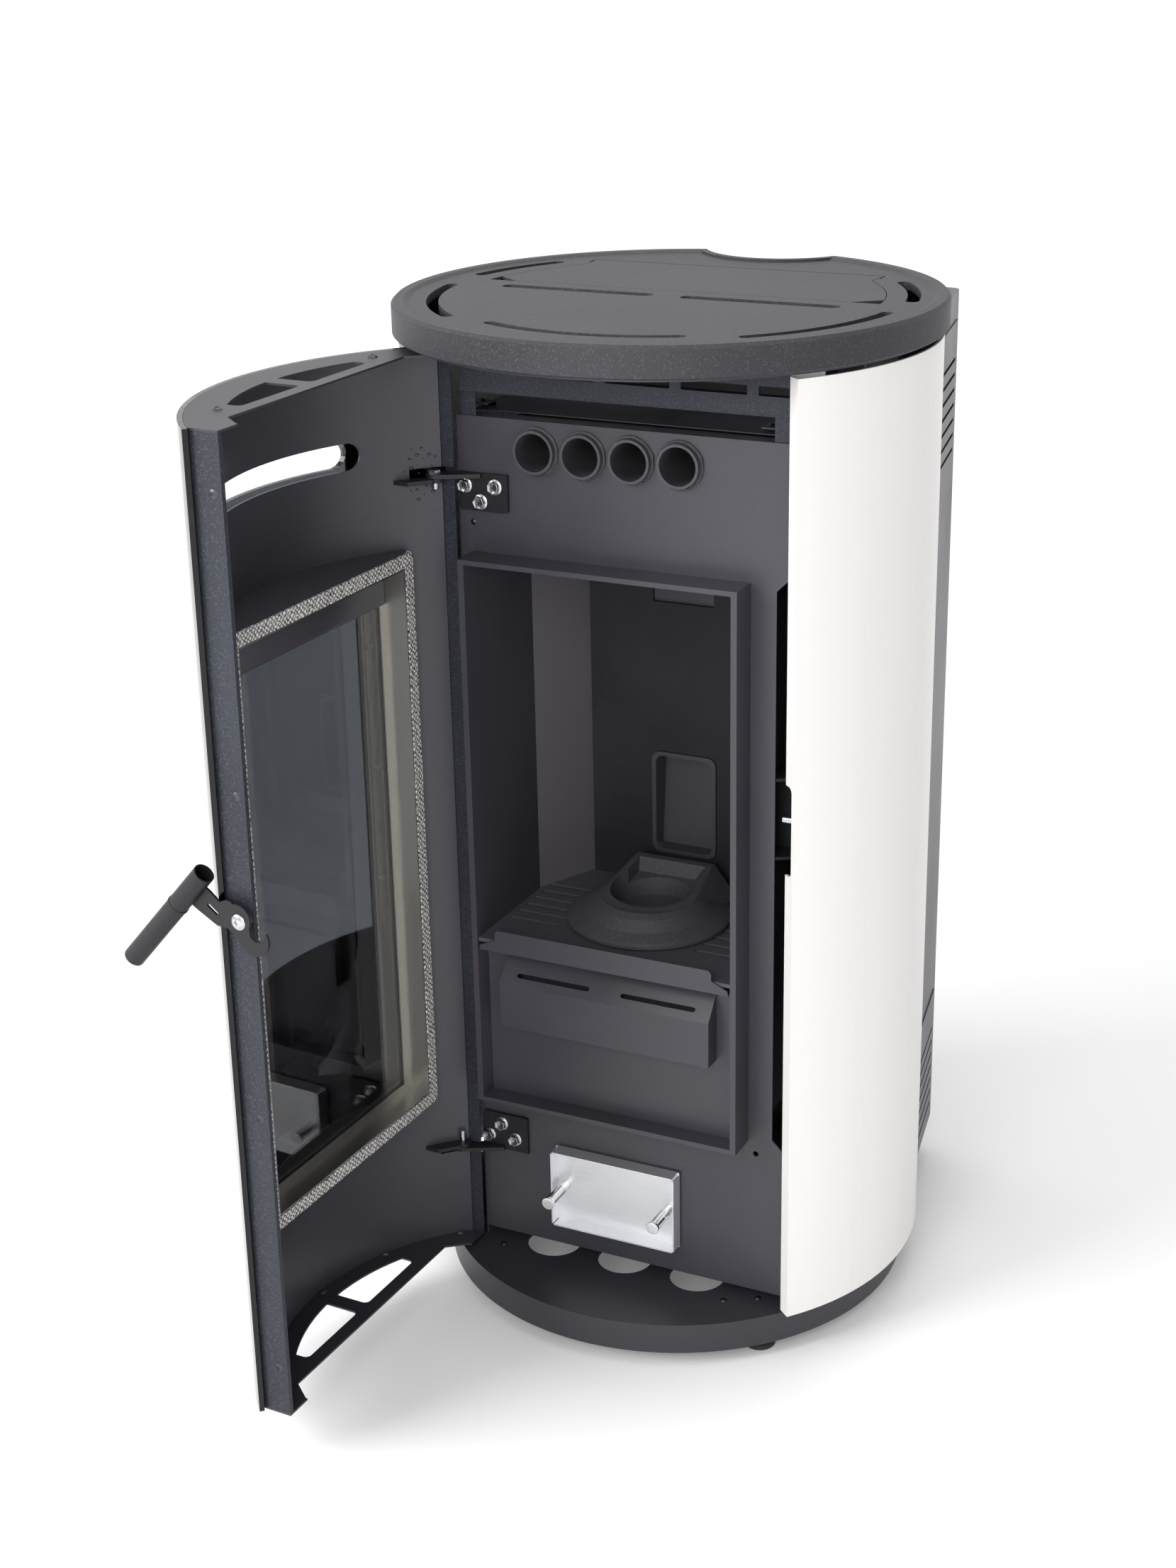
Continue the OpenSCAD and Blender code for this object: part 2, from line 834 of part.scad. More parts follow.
module pellet_chute() {
  top = 640;
  c = [auger_y - (auger_len - 4) * sin(auger_tilt), auger_z + (auger_len - 4) * cos(auger_tilt)];
  v = [cos(auger_tilt), sin(auger_tilt)];
  low = [c[0] - 34 * v[0], c[1] - 34 * v[1]];
  high = [c[0] + 34 * v[0], c[1] + 34 * v[1]];
  front = fire_back + seat;
  color("#3f4044") {
    difference() {
      along_x(-feed_half_w - 2, feed_half_w + 2, [
        [front, feed_z0 - 2], [front, top], [high[0] - 16, top], high, low,
        [front + 10, feed_z0 - 2]
      ]);
      along_x(-feed_half_w, feed_half_w, [
        [front - 1, feed_z0], [front - 1, feed_z0 + feed_h], [front + 2, feed_z0 + feed_h],
        [front + 2, top - 2], [high[0] - 17.5, top - 2], [high[0] - 2.5, high[1] + 0.8],
        [low[0] - 2.2, low[1] + 1], [front + 8, feed_z0]
      ]);
      translate([0, auger_y, auger_z])
        rotate([auger_tilt, 0, 0])
          cylinder(h = auger_len + 20, r = auger_r + fit);
    }
    // raised frame that shows round the feed opening inside the firebox
    difference() {
      rounded_y(-feed_half_w - 4.5, feed_half_w + 4.5, feed_z0 - 4.5,
           feed_z0 + feed_h + 4.5, 10, fire_back - fire_wall - liner_t - 2,
           fire_back - fire_wall);
      rounded_y(-feed_half_w, feed_half_w, feed_z0, feed_z0 + feed_h, 8, 20, 50);
    }
  }
}

igniter_z = grate_z + 22;
igniter_r = 6;

module igniter() {
  color("#d8d3c8") {
    rod_y(0, igniter_z, igniter_r, 25, 112);
    rod_y(0, igniter_z, igniter_r + 4, fire_back + seat, fire_back + 8);
  }
}

module apron_panel() {
  color("#46474c") {
    block(-fire_half_w + seat, fire_half_w - seat, apron_y, apron_y + sheet,
       in_z0, grate_z);
    block(-fire_half_w + seat, fire_half_w - seat, apron_y + sheet, apron_y + 16,
       grate_z - sheet, grate_z);
  }
}

module grate_plate() {
  front = collar_y + 2.3;
  color("#3a3b3f")
    difference() {
      translate([0, 0, grate_z])
        linear_extrude(grate_t)
          difference() {
            union() {
              translate([-fire_half_w + seat, front])
                square([2 * (fire_half_w - seat), side_end - front]);
              polygon([
                [-fire_half_w + seat, side_end - 0.2],
                [fire_half_w - seat, side_end - 0.2],
                [back_half_w - seat, fire_back - fire_wall - seat],
                [-back_half_w + seat, fire_back - fire_wall - seat]
              ]);
            }
            // ash slots beside the burn pot
            for (s = [-1, 1], i = [0 : 5])
              translate([s * 105, -26 - i * 18.6]) {
                square([58 - grate_slot, grate_slot], center = true);
                for (e = [-1, 1])
                  translate([e * (29 - grate_slot / 2), 0])
                    circle(grate_slot / 2, $fn = 24);
              }
          }
      translate([0, pot_y, grate_z - 1])
        cylinder(h = grate_t + 2, r = bowl_r + 4);
    }
}

grate_slot = 6;
pot_y = -63;
bowl_y = -54.5;
pot_z = grate_z + grate_t + seat;

module front_lip() {
  lip_top = grate_z + 16;
  lip_bottom = grate_z - 8;
  color("#4a4b50") {
    rotate([90, 0, 0])
      translate([0, 0, -collar_y - 2])
        linear_extrude(sheet)
          union() {
            polygon([
              [-138, lip_bottom], [138, lip_bottom], [137, lip_bottom + 5],
              [120, lip_bottom + 13], [120, lip_top - 5], [115, lip_top],
              [-115, lip_top], [-120, lip_top - 5], [-120, lip_bottom + 13],
              [-137, lip_bottom + 5]
            ]);
            for (s = [-1, 1])
              translate([s * 115, lip_top - 5])
                circle(5, $fn = 32);
          }
    block(-138, 138, collar_y + sheet, apron_y, lip_bottom, lip_bottom + sheet);
  }
}

module air_deflector() {
  half_w = 116.5;
  z0 = fire_z + 91.5;
  z1 = z0 + 49;
  front = collar_y + 1;
  color("#4a4b50")
    difference() {
      along_x(-half_w, half_w, [[apron_y, z0], [front, z0], [front, z1],
                   [apron_y, z1 + 26]]);
      along_x(-half_w + sheet, half_w - sheet, [
        [apron_y + 1, z0 + sheet], [front + sheet, z0 + sheet],
        [front + sheet, z1 - 0.5], [apron_y + 1, z1 + 24.5]]);
      // two long air slots in the sloping top
      for (s = [-1, 1])
        translate([s * 58.5, (front + apron_y) / 2 - 3.5, z1 + 9])
          rotate([51, 0, 0]) {
            cube([77, 5, 16], center = true);
            for (e = [-1, 1])
              translate([e * 38.5, 0, 0])
                cylinder(h = 16, r = 2.5, center = true, $fn = 24);
          }
    }
}

module burn_pot() {
  color("#3e3f43")
    difference() {
      union() {
        translate([0, pot_y, pot_z])
          rotate_extrude($fn = 120)
            polygon([
              [0, 0], [pot_r - 2, 0], [pot_r, 2], [pot_r, 5], [pot_r - 3, 7],
              [70, 13], [58, 22], [50, 26], [0, 26]
            ]);
        // squared scoop that guides the pellets into the bowl
        hull() {
          translate([-44, -2, pot_z + 34])
            cube([88, 8, 6]);
          translate([-50, -40, pot_z + 14])
            cube([100, 50, 2]);
          translate([0, bowl_y, pot_z + 18])
            cylinder(h = 8, r = bowl_r + 8, $fn = 32);
          translate([-66, -40, pot_z + 2])
            cube([132, 52, 4]);
        }
      }
      translate([0, bowl_y, pot_z - 1])
        cylinder(h = 80, r = bowl_r);
      along_x(-38, 38, [[bowl_y, pot_z + 16], [-6, pot_z + 24], [0, pot_z + 60],
               [bowl_y, pot_z + 60]]);
    }
  // sieve in the bowl's foot
  color("#3e3f43")
    difference() {
      translate([0, bowl_y, pot_z])
        cylinder(h = 3, r = bowl_r + 1);
      for (x = [-24 : 12 : 24], y = [-24 : 12 : 24])
        if (x * x + y * y < 900)
          translate([x, bowl_y + y, pot_z - 1])
            cylinder(h = 5, r = 2.5, $fn = 24);
    }
}

module ash_box() {
  half_w = knob_x - knob_rod_r - 1.5;
  z0 = cover_z0 - 6;
  color("#3b3c40")
    difference() {
      block(-half_w, half_w, plate_back, -24, z0, fire_z);
      block(-half_w + sheet, half_w - sheet, plate_back + sheet, -24 - sheet,
         z0 + sheet, fire_z + 1);
      block(-ash_half_w, ash_half_w, plate_back - 1, plate_back + sheet + 1,
         cover_mid_z - ash_half_h, cover_mid_z + ash_half_h);
    }
}

module ash_cover_seal() {
  color("#8c8c8a")
    difference() {
      rounded_y(-cover_half_w + 1, cover_half_w - 1, cover_z0 + 1, cover_z0 + cover_h - 1, 6,
           plate_y - seal_t, plate_y);
      rounded_y(-ash_half_w, ash_half_w, cover_mid_z - ash_half_h,
           cover_mid_z + ash_half_h, 6, plate_y - seal_t - 1, plate_y + 1);
      for (s = [-1, 1])
        rod_y(s * knob_x, cover_mid_z, knob_rod_r + seat, plate_y - seal_t - 1,
           plate_y + 1);
    }
}

module ash_cover() {
  t = 1.5;
  color("#c9cccf")
    difference() {
      block(-cover_half_w, cover_half_w, cover_y - cover_rim, cover_y,
         cover_z0, cover_z0 + cover_h);
      block(-cover_half_w + t, cover_half_w - t, cover_y - cover_rim - 1, cover_y - t,
         cover_z0 + t, cover_z0 + cover_h - t);
      // slits where the rim is folded up at the corners
      for (x = [-cover_half_w, cover_half_w], z = [cover_z0, cover_z0 + cover_h])
        translate([x, cover_y - cover_rim, z])
          cube([2.8 * t, 2 * cover_rim - 4, 2.8 * t], center = true);
      for (s = [-1, 1])
        rod_y(s * knob_x, cover_mid_z, knob_rod_r + 2 * fit, cover_y - 5, cover_y + 5);
    }
}

// Screw knob: threaded shank, knurled stem and a flat round head
module ash_knob(x) {
  head_y = cover_y - 1.5 - knob_len;
  color("#b8b9bb") {
    rod_y(x, cover_mid_z, knob_rod_r, head_y + 2, plate_y - 0.5);
    rod_y(x, cover_mid_z, knob_rod_r + 2.2, head_y + 10, cover_y - 1.5 - seat);
    translate([x, head_y, cover_mid_z])
      rotate([-90, 0, 0])
        rotate_extrude($fn = 48)
          polygon([[0, 0], [6, 0], [7, 1], [7, 3], [6, 4], [0, 4]]);
  }
}

module ash_knob_left() {
  ash_knob(-knob_x);
}

module ash_knob_right() {
  ash_knob(knob_x);
}

// ---------------------------------------------------------------- hinges and latch on the body

bracket_t = 4;
hinge_ear_r = 8.5;

// Bracket plate on the front plate, and its ear that reaches out to the pin
module hinge_bracket(x0, x1, z0, z1, ear_z) {
  difference() {
    union() {
      rounded_y(x0, x1, z0, z1, 3, plate_y - bracket_t, plate_y);
      block(x0, x1, plate_y - bracket_t, plate_y, ear_z, ear_z + bracket_t);
      translate([0, 0, ear_z])
        linear_extrude(bracket_t)
          union() {
            polygon([
              [x0, plate_y], [x0 + 26, plate_y], [x0 + 26, plate_y - 8],
              [hinge_x + 5, hinge_y - hinge_ear_r + 1.5],
              [hinge_x, hinge_y - hinge_ear_r],
              [hinge_x - hinge_ear_r, hinge_y], [hinge_x, hinge_y + hinge_ear_r],
              [x0, plate_y - 4]
            ]);
            translate([hinge_x, hinge_y])
              circle(hinge_ear_r);
          }
    }
    translate([hinge_x, hinge_y, ear_z - 1])
      cylinder(h = bracket_t + 2, r = hinge_pin_r + fit / 2);
  }
}

module hinge_brackets() {
  color("#2b2c2e") {
    hinge_bracket(-158, -105, upper_hinge_z - 33.5, upper_hinge_z + bracket_t,
           upper_hinge_z);
    hinge_bracket(-158, -105, lower_hinge_z - bracket_t, lower_hinge_z + 38,
           lower_hinge_z - bracket_t);
  }
}

module hinge_pins() {
  color("#c4c5c7")
    for (p = [[upper_hinge_z, -1], [lower_hinge_z - bracket_t, 1]])
      translate([hinge_x, hinge_y, p[0]]) {
        if (p[1] < 0) {
          translate([0, 0, -11])
            cylinder(h = 11 + bracket_t + 2, r = hinge_pin_r);
          translate([0, 0, bracket_t])
            cylinder(h = 3.5, r = 6, $fn = 6);
        } else {
          translate([0, 0, -3.5])
            cylinder(h = 3.5 + 22, r = hinge_pin_r);
          translate([0, 0, -3.5])
            cylinder(h = 3.5, r = 6, $fn = 6);
        }
      }
}

bolt_places = [
  [-151, upper_hinge_z - 9], [-118.5, upper_hinge_z - 8.5], [-134.6, upper_hinge_z - 24.4],
  [-150.8, lower_hinge_z + 10.5], [-135.7, lower_hinge_z + 26.6], [-120, lower_hinge_z + 10.8]
];

// Hexagon bolts with a flange, on the hinge brackets and at the ends of the vent strip
module hinge_bolts() {
  color("#c8cacc")
    for (p = bolt_places)
      translate([p[0], plate_y - bracket_t, p[1]])
        rotate([90, 0, 0]) {
          cylinder(h = 1.3, r = 7.6, $fn = 48);
          cylinder(h = 6.5, r = 6.4, $fn = 6);
        }
}

striker_plate_x = 202;

module striker_bracket() {
  color("#2b2c2e")
    difference() {
      union() {
        block(striker_plate_x, striker_plate_x + 3, plate_y + 3, plate_y + 34,
           striker_z - 42, striker_z + 42);
        block(plate_notch_x - 20, striker_plate_x + 3, plate_back + 29, plate_back + 32,
           striker_z - 42, striker_z + 42);
        for (z = [striker_z - 42, striker_z + 39])
          along_z([[plate_notch_x - 20, plate_back], [plate_notch_x - 3, plate_back],
               [striker_plate_x + 2, plate_y + 22],
               [striker_plate_x + 2, plate_back + 31],
               [plate_notch_x - 20, plate_back + 31]], z, z + 3);
      }
      rod_x(striker_y, striker_z, striker_r + fit / 2, striker_plate_x - 5,
         striker_plate_x + 8);
    }
}

// A plan of (x, y) points drawn out upwards
module along_z(points, z0, z1) {
  translate([0, 0, z0])
    linear_extrude(z1 - z0)
      polygon(points);
}

module striker_pin() {
  color("#c4c5c7")
    rod_x(striker_y, striker_z, striker_r, plate_notch_x + 6, striker_plate_x + 5);
}

// ---------------------------------------------------------------- works

module hopper_shell(inset) {
  intersection() {
    along_x(-hopper_half_w - 1, hopper_half_w + 1, [
      [hopper_front + inset, hopper_top + (inset > 0 ? 1 : 0)],
      [hopper_front + inset, hopper_knee],
      [162 + inset, neck_z - (inset > 0 ? 1 : 0)],
      [hopper_back - inset, neck_z - (inset > 0 ? 1 : 0)],
      [hopper_back - inset, hopper_top + (inset > 0 ? 1 : 0)]
    ]);
    translate([0, hopper_back + 10, 0])
      rotate([90, 0, 0])
        linear_extrude(hopper_back)
          polygon([
            [-hopper_half_w + inset, hopper_top + 2],
            [-hopper_half_w + inset, hopper_knee], [-30 + inset, neck_z - 2],
            [30 - inset, neck_z - 2], [hopper_half_w - inset, hopper_knee],
            [hopper_half_w - inset, hopper_top + 2]
          ]);
  }
}

module hopper() {
  color("#8f9194")
    union() {
      difference() {
        hopper_shell(0);
        hopper_shell(sheet);
      }
      // rear flange under the housing's top sheet
      block(-120, 120, hopper_back, hopper_back + 16, hopper_top - sheet, hopper_top + 0.5);
    }
}

// Places children in the auger's own frame, Z along its shaft, from the motor upwards
module on_auger() {
  translate([0, auger_y, auger_z])
    rotate([auger_tilt, 0, 0])
      children();
}

module auger_neck(inset) {
  difference() {
    block(-30 + inset, 30 - inset, 162 + inset, hopper_back - inset, auger_z, neck_z);
    on_auger()
      translate([-60, -200, -150])
        cube([120, 204, 500]);
  }
}

module auger_tube() {
  color("#7d7f83")
    difference() {
      union() {
        on_auger()
          cylinder(h = auger_len, r = auger_r);
        auger_neck(0);
      }
      on_auger()
        translate([0, 0, 4])
          cylinder(h = auger_len, r = auger_r - 2.5);
      on_auger()
        translate([0, 0, -1])
          cylinder(h = 10, r = 7 + fit);
      translate([0, 0, 0.01])
        auger_neck(sheet);
    }
}

module auger_screw() {
  turns = floor((auger_len - 30) / flight_pitch);
  color("#9a9b9e")
    on_auger() {
      translate([0, 0, -24])
        cylinder(h = auger_len + 18, r = 6.9, $fn = 48);
      translate([0, 0, 8])
        linear_extrude(turns * flight_pitch, twist = -360 * turns, slices = 18 * turns, $fn = 16)
          translate([4, -1.5])
            square([auger_r - 2.5 - run - 4, 3]);
    }
}

module gear_motor() {
  color("#54565a")
    on_auger()
      difference() {
        union() {
          translate([0, 0, -seat - 34])
            linear_extrude(34)
              rounded_rect(-36, 36, -30, 30, 8);
          translate([0, 0, -seat - 34 - 44])
            cylinder(h = 44, r = 26);
        }
        translate([0, 0, -26])
          cylinder(h = 40, r = 7);
      }
}

duct_x0 = -17.7;
duct_x1 = 30;

module smoke_duct() {
  color("#4c4d51")
    difference() {
      along_x(duct_x0, duct_x1, [
        [fire_back + seat, 226], [fire_back + seat, 290], [160, 290], [235, 215],
        [235, 108], [145, 108], [108, 226]
      ]);
      along_x(duct_x0 + 2, duct_x1 - 2, [
        [fire_back - 1, 228], [fire_back - 1, 288], [159, 288], [233, 214],
        [233, 110], [147, 110], [110, 228]
      ]);
      rod_x(fan_y, fan_z, 32, duct_x0 - 1, duct_x0 + 3);
    }
}

module fan_volute(inset) {
  rod_x(fan_y, fan_z, fan_r - inset, fan_x0 + inset, fan_x1 - inset);
  block(fan_x0 + inset, fan_x1 - inset, fan_y, flue_y - inset, flue_z - 42 + inset,
     flue_z + 40 - inset);
}

module smoke_fan_housing() {
  color("#55575b") {
    difference() {
      fan_volute(0);
      fan_volute(2);
      rod_x(fan_y, fan_z, 32, fan_x1 - 4, fan_x1 + 1);
      rod_x(fan_y, fan_z, 5 + fit, fan_x0 - 1, fan_x0 + 3);
      rod_y(flue_x, flue_z, flue_r - 1.5, flue_y - 10, flue_y + 10);
    }
    // motor beside the housing
    difference() {
      rod_x(fan_y, fan_z, 34, fan_x0 - 56, fan_x0);
      rod_x(fan_y, fan_z, 5 + fit, fan_x0 - 30, fan_x0 + 1);
    }
    // feet down to the tray
    for (x = [fan_x0 + 8, fan_x1 - 20])
      block(x, x + 12, fan_y - 8, fan_y + 8, base_h, fan_z - fan_r + 2);
  }
}

module smoke_fan_wheel() {
  color("#a8aaad")
    translate([fan_x0, fan_y, fan_z])
      rotate([0, 90, 0]) {
        translate([0, 0, -24])
          cylinder(h = 74, r = 5, $fn = 32);
        translate([0, 0, 14])
          cylinder(h = 2, r = 64);
        for (i = [0 : smoke_blades - 1])
          rotate([0, 0, i * 360 / smoke_blades])
            translate([22, -1, 15.5])
              cube([41, 2, 44]);
      }
}

module room_fan_housing() {
  color("#8b8d90")
    difference() {
      union() {
        rod_x(blower_y, blower_z, blower_r, blower_x0, blower_x1);
        block(blower_x0, blower_x1, blower_y - blower_r, blower_y - 8, blower_z,
           blower_z + 78);
        block(blower_x0 + 10, blower_x0 + 22, blower_y - 10, blower_y + 10,
           base_h, blower_z - blower_r + 2);
        block(blower_x1 - 22, blower_x1 - 10, blower_y - 10, blower_y + 10,
           base_h, blower_z - blower_r + 2);
      }
      rod_x(blower_y, blower_z, blower_r - 2, blower_x0 + 2, blower_x1 - 2);
      block(blower_x0 + 2, blower_x1 - 2, blower_y - blower_r + 2, blower_y - 10,
         blower_z, blower_z + 80);
      // intake mouth towards the back
      block(blower_x0 + 2, blower_x1 - 2, blower_y + 20, blower_y + blower_r + 2,
         blower_z - 20, blower_z + 20);
      rod_x(blower_y, blower_z, 4 + fit, blower_x0 - 1, blower_x1 + 1);
    }
}

module room_fan_wheel() {
  color("#2e3033")
    translate([blower_x0, blower_y, blower_z])
      rotate([0, 90, 0]) {
        translate([0, 0, -8])
          cylinder(h = blower_x1 - blower_x0 + 16, r = 4, $fn = 32);
        for (z = [6, (blower_x1 - blower_x0) / 2 - 1, blower_x1 - blower_x0 - 8])
          translate([0, 0, z])
            cylinder(h = 2, r = 36);
        for (i = [0 : room_blades - 1])
          rotate([0, 0, i * 360 / room_blades])
            translate([27, -0.75, 7])
              cube([8, 1.5, blower_x1 - blower_x0 - 14]);
      }
}

module flue_outlet() {
  color("#3f4043")
    difference() {
      union() {
        rod_y(flue_x, flue_z, flue_r, flue_y, rear_y + pipe_reach);
        rod_y(flue_x, flue_z, flue_r + 7, flue_y, flue_y + 3);
        rod_y(flue_x, flue_z, flue_r + 4, rear_y + seat, rear_y + bead_t);
      }
      rod_y(flue_x, flue_z, flue_r - 1.5, flue_y - 5, rear_y + pipe_reach + 1);
    }
}

module air_intake() {
  color("#3f4043")
    difference() {
      union() {
        rod_y(intake_x, intake_z, intake_r, fire_back + seat, rear_y + pipe_reach);
        rod_y(intake_x, intake_z, intake_r + 5, fire_back + seat, fire_back + 3);
        rod_y(intake_x, intake_z, intake_r + 4, rear_y + seat, rear_y + bead_t);
      }
      rod_y(intake_x, intake_z, intake_r - 1.5, 0, rear_y + pipe_reach + 1);
    }
}

module power_socket() {
  color("#1b1b1d") {
    difference() {
      union() {
        rounded_y(socket_x - 14, socket_x + 14, socket_z - 24.5, socket_z + 24.5, 3,
             rear_y - 26, rear_y + 1);
        rounded_y(socket_x - 17, socket_x + 17, socket_z - 28, socket_z + 28, 4,
             rear_y, rear_y + 2.5);
      }
      rounded_y(socket_x - 12, socket_x + 12, socket_z + 2, socket_z + 18.5, 3,
           rear_y - 15, rear_y + 5);
      block(socket_x - 11.2, socket_x + 11.2, rear_y - 14, rear_y + 5,
         socket_z - 19.5, socket_z - 0.5);
    }
  }
  color("#b9babd")
    for (p = [[-7, 8], [0, 12], [7, 8]])
      block(socket_x + p[0] - 1, socket_x + p[0] + 1, rear_y - 15.5, rear_y - 2,
         socket_z + p[1] - 2, socket_z + p[1] + 2);
  // pin on which the switch rocks
  color("#1b1b1d")
    rod_x(rear_y - 5, socket_z - 10, 1.5, socket_x - 11.3, socket_x + 11.3);
}

module power_switch() {
  color("#26272a")
    difference() {
      along_x(socket_x - 10.8, socket_x + 10.8, [
        [rear_y - 10, socket_z - 16], [rear_y + 1, socket_z - 17.4],
        [rear_y + 2.2, socket_z - 10], [rear_y + 3.4, socket_z - 2.6],
        [rear_y - 10, socket_z - 4]
      ]);
      rod_x(rear_y - 5, socket_z - 10, 1.5 + fit, socket_x - 12, socket_x + 12);
    }
}

module control_box() {
  color("#34363a")
    difference() {
      block(hopper_half_w + seat, hopper_half_w + 20, 62, 192, 832, 962);
      block(hopper_half_w + seat + 2, hopper_half_w + 21, 64, 190, 834, 960);
    }
  // circuit board with its larger parts
  color("#2d5a3c") {
    block(hopper_half_w + 6, hopper_half_w + 8, 66, 188, 836, 958);
    for (p = [[80, 850], [80, 900], [130, 850], [150, 910]])
      block(hopper_half_w + 8, hopper_half_w + 16, p[0], p[0] + 24, p[1], p[1] + 30);
    block(hopper_half_w + 2, hopper_half_w + 6, 70, 76, 840, 846);
    block(hopper_half_w + 2, hopper_half_w + 6, 178, 184, 948, 954);
  }
}

// ---------------------------------------------------------------- door, drawn closed

function arc_y(r, x) = -sqrt(r * r - x * x);

window_half_w = gasket_half_w - gasket_w;
window_z0 = gasket_z0 + window_margin;
window_z1 = gasket_z1 - window_margin;
box_front = gasket_y - gasket_t;
pane_y = gasket_y - frame_d;
air_slot_z0 = 895.5;
air_slot_z1 = 922;
air_slot_half = 119.8;
hinge_windows = [upper_hinge_z - 1, lower_hinge_z - hinge_window + 1];

module door_skin() {
  half_az = asin((door_half_w - strip_t) / skin_r) - 0.05;
  seam_z = (window_z1 + air_slot_z0) / 2;
  color("#3f4044")
    on_door()
      difference() {
        union() {
          sector(skin_r - skin_t, skin_r, -half_az, half_az, door_z0 + cap_t, seam_z);
          sector(skin_r - skin_t, skin_r, -half_az, half_az, seam_z + 1, door_z1 - cap_t);
          // score line along which the sheet is rolled, between window and slot
          sector(skin_r - skin_t + 0.1, skin_r - 0.1, -half_az, half_az, seam_z - 1,
              seam_z + 2);
        }
        rounded_y(-air_slot_half, air_slot_half, air_slot_z0, air_slot_z1,
             (air_slot_z1 - air_slot_z0) / 2 - 0.1, -body_r, -200);
        block(-window_half_w - channel_t - 2 * seat, window_half_w + channel_t + 2 * seat,
           -body_r, -190, window_z0 - channel_t - 2 * seat,
           window_z1 + channel_t + 2 * seat);
        // room for the hinge lugs
        for (z = hinge_windows)
          block(-door_half_w - 2, hinge_x + 15, -200, -100, z, z + hinge_window);
      }
}

module door_strips() {
  color("#5a616b")
    on_door()
      difference() {
        union() {
          for (s = [0, 1])
            mirror([s, 0, 0]) {
              block(door_half_w - strip_t, door_half_w, strip_front, strip_back,
                 door_z0 + cap_t, door_z1 - cap_t);
              // rear fold
              if (s == 0)
                block(door_half_w - 5, door_half_w, strip_back - strip_t,
                   strip_back, door_z0 + cap_t, door_z1 - cap_t);
            }
        }
        for (z = hinge_windows)
          block(-door_half_w - 2, -door_half_w + 3, -176, -100, z, z + hinge_window);
      }
}

module cap_plan() {
  difference() {
    intersection() {
      circle(glass_in - 0.3, $fn = 180);
      translate([-door_half_w, -glass_in])
        square([2 * door_half_w, glass_in + strip_back]);
    }
    // inner edge, set back in the middle
    polygon([[-157, -100], [-157, -152], [-140, -173], [140, -173], [157, -152], [157, -100]]);
    // two openings for the glass's cooling air
    for (s = [0, 1])
      mirror([s, 0])
        intersection() {
          circle(226);
          translate([0, -240])
            rounded_rect(9, 100, 0, 52, 6);
        }
  }
}

module door_caps() {
  color("#3a3b3f")
    on_door()
      for (z = [door_z0, door_z1 - cap_t])
        translate([0, 0, z])
          linear_extrude(cap_t)
            cap_plan();
}

module door_glass() {
  color("#191a1d", 0.75)
    on_door()
      difference() {
        sector(glass_in, body_r, -glass_az, glass_az, door_z0, door_z1);
        rounded_y(-air_slot_half, air_slot_half, air_slot_z0, air_slot_z1,
             (air_slot_z1 - air_slot_z0) / 2 - 0.1, -body_r - 5, -200);
      }
}

module window_box() {
  back = pane_y - pane_t - seat - sheet;
  color("#3f4044")
    on_door() {
      // front frame that carries the gasket
      difference() {
        rounded_y(-gasket_half_w, gasket_half_w, gasket_z0, gasket_z1, 4,
             box_front - sheet, box_front);
        window_hole(0, box_front - 3, box_front + 1);
      }
      // outer walls back to the curved sheet
      intersection() {
        difference() {
          rounded_y(-gasket_half_w, gasket_half_w, gasket_z0, gasket_z1, 4,
               -skin_r, box_front - sheet);
          rounded_y(-gasket_half_w + sheet, gasket_half_w - sheet, gasket_z0 + sheet,
               gasket_z1 - sheet, 2, -skin_r - 1, box_front);
        }
        cylinder(h = top_z1, r = skin_r - skin_t - 0.2, $fn = 180);
      }
      // channel that holds the ceramic glass
      difference() {
        window_hole(channel_t, back, box_front - sheet);
        window_hole(0, back + sheet, box_front);
        window_hole(-12, back - 1, back + sheet + 1);
      }
    }
}

module window_hole(grow, y0, y1) {
  block(-window_half_w - grow, window_half_w + grow, y0, y1, window_z0 - grow,
     window_z1 + grow);
}

module glass_frame() {
  t = 1.5;
  color("#b4b6b8")
    on_door()
      difference() {
        block(-window_half_w + 0.2, window_half_w - 0.2, pane_y + seat, gasket_y - 1,
           window_z0 + 0.2, window_z1 - 0.2);
        block(-window_half_w + t, window_half_w - t, pane_y + t + seat, gasket_y + 1,
           window_z0 + t, window_z1 - t);
        block(-window_half_w + 9, window_half_w - 9, pane_y - 1, gasket_y,
           window_z0 + 9, window_z1 - 9);
      }
}

module ceramic_glass() {
  color("#26221d", 0.7)
    on_door()
      block(-window_half_w + 3, window_half_w - 3, pane_y - pane_t, pane_y,
         window_z0 + 3, window_z1 - 3);
}

module rope_gasket() {
  color("#9b9c9a")
    on_door()
      difference() {
        rounded_y(-gasket_half_w, gasket_half_w, gasket_z0, gasket_z1, 8,
             box_front, gasket_y);
        window_hole(0, box_front - 1, gasket_y + 1);
      }
}

// Plate on the door that turns on the pin and is welded to the curved sheet
module door_lug(z) {
  translate([0, 0, z])
    difference() {
      linear_extrude(lug_t)
        intersection() {
          union() {
            translate([hinge_x, hinge_y])
              circle(hinge_ear_r);
            polygon([[hinge_x - 4, hinge_y + 7.5], [hinge_x + 10, hinge_y + 3],
                 [-147, -180], [-147, -215], [-150, -215],
                 [hinge_x - 4, hinge_y - 7.5]]);
          }
          circle(skin_r - skin_t - 0.1, $fn = 180);
        }
      translate([hinge_x, hinge_y, -1])
        cylinder(h = lug_t + 2, r = hinge_pin_r + fit);
    }
}

module door_lugs() {
  color("#2b2c2e")
    on_door() {
      door_lug(upper_hinge_z - lug_gap - lug_t);
      door_lug(lower_hinge_z + lug_gap);
    }
}

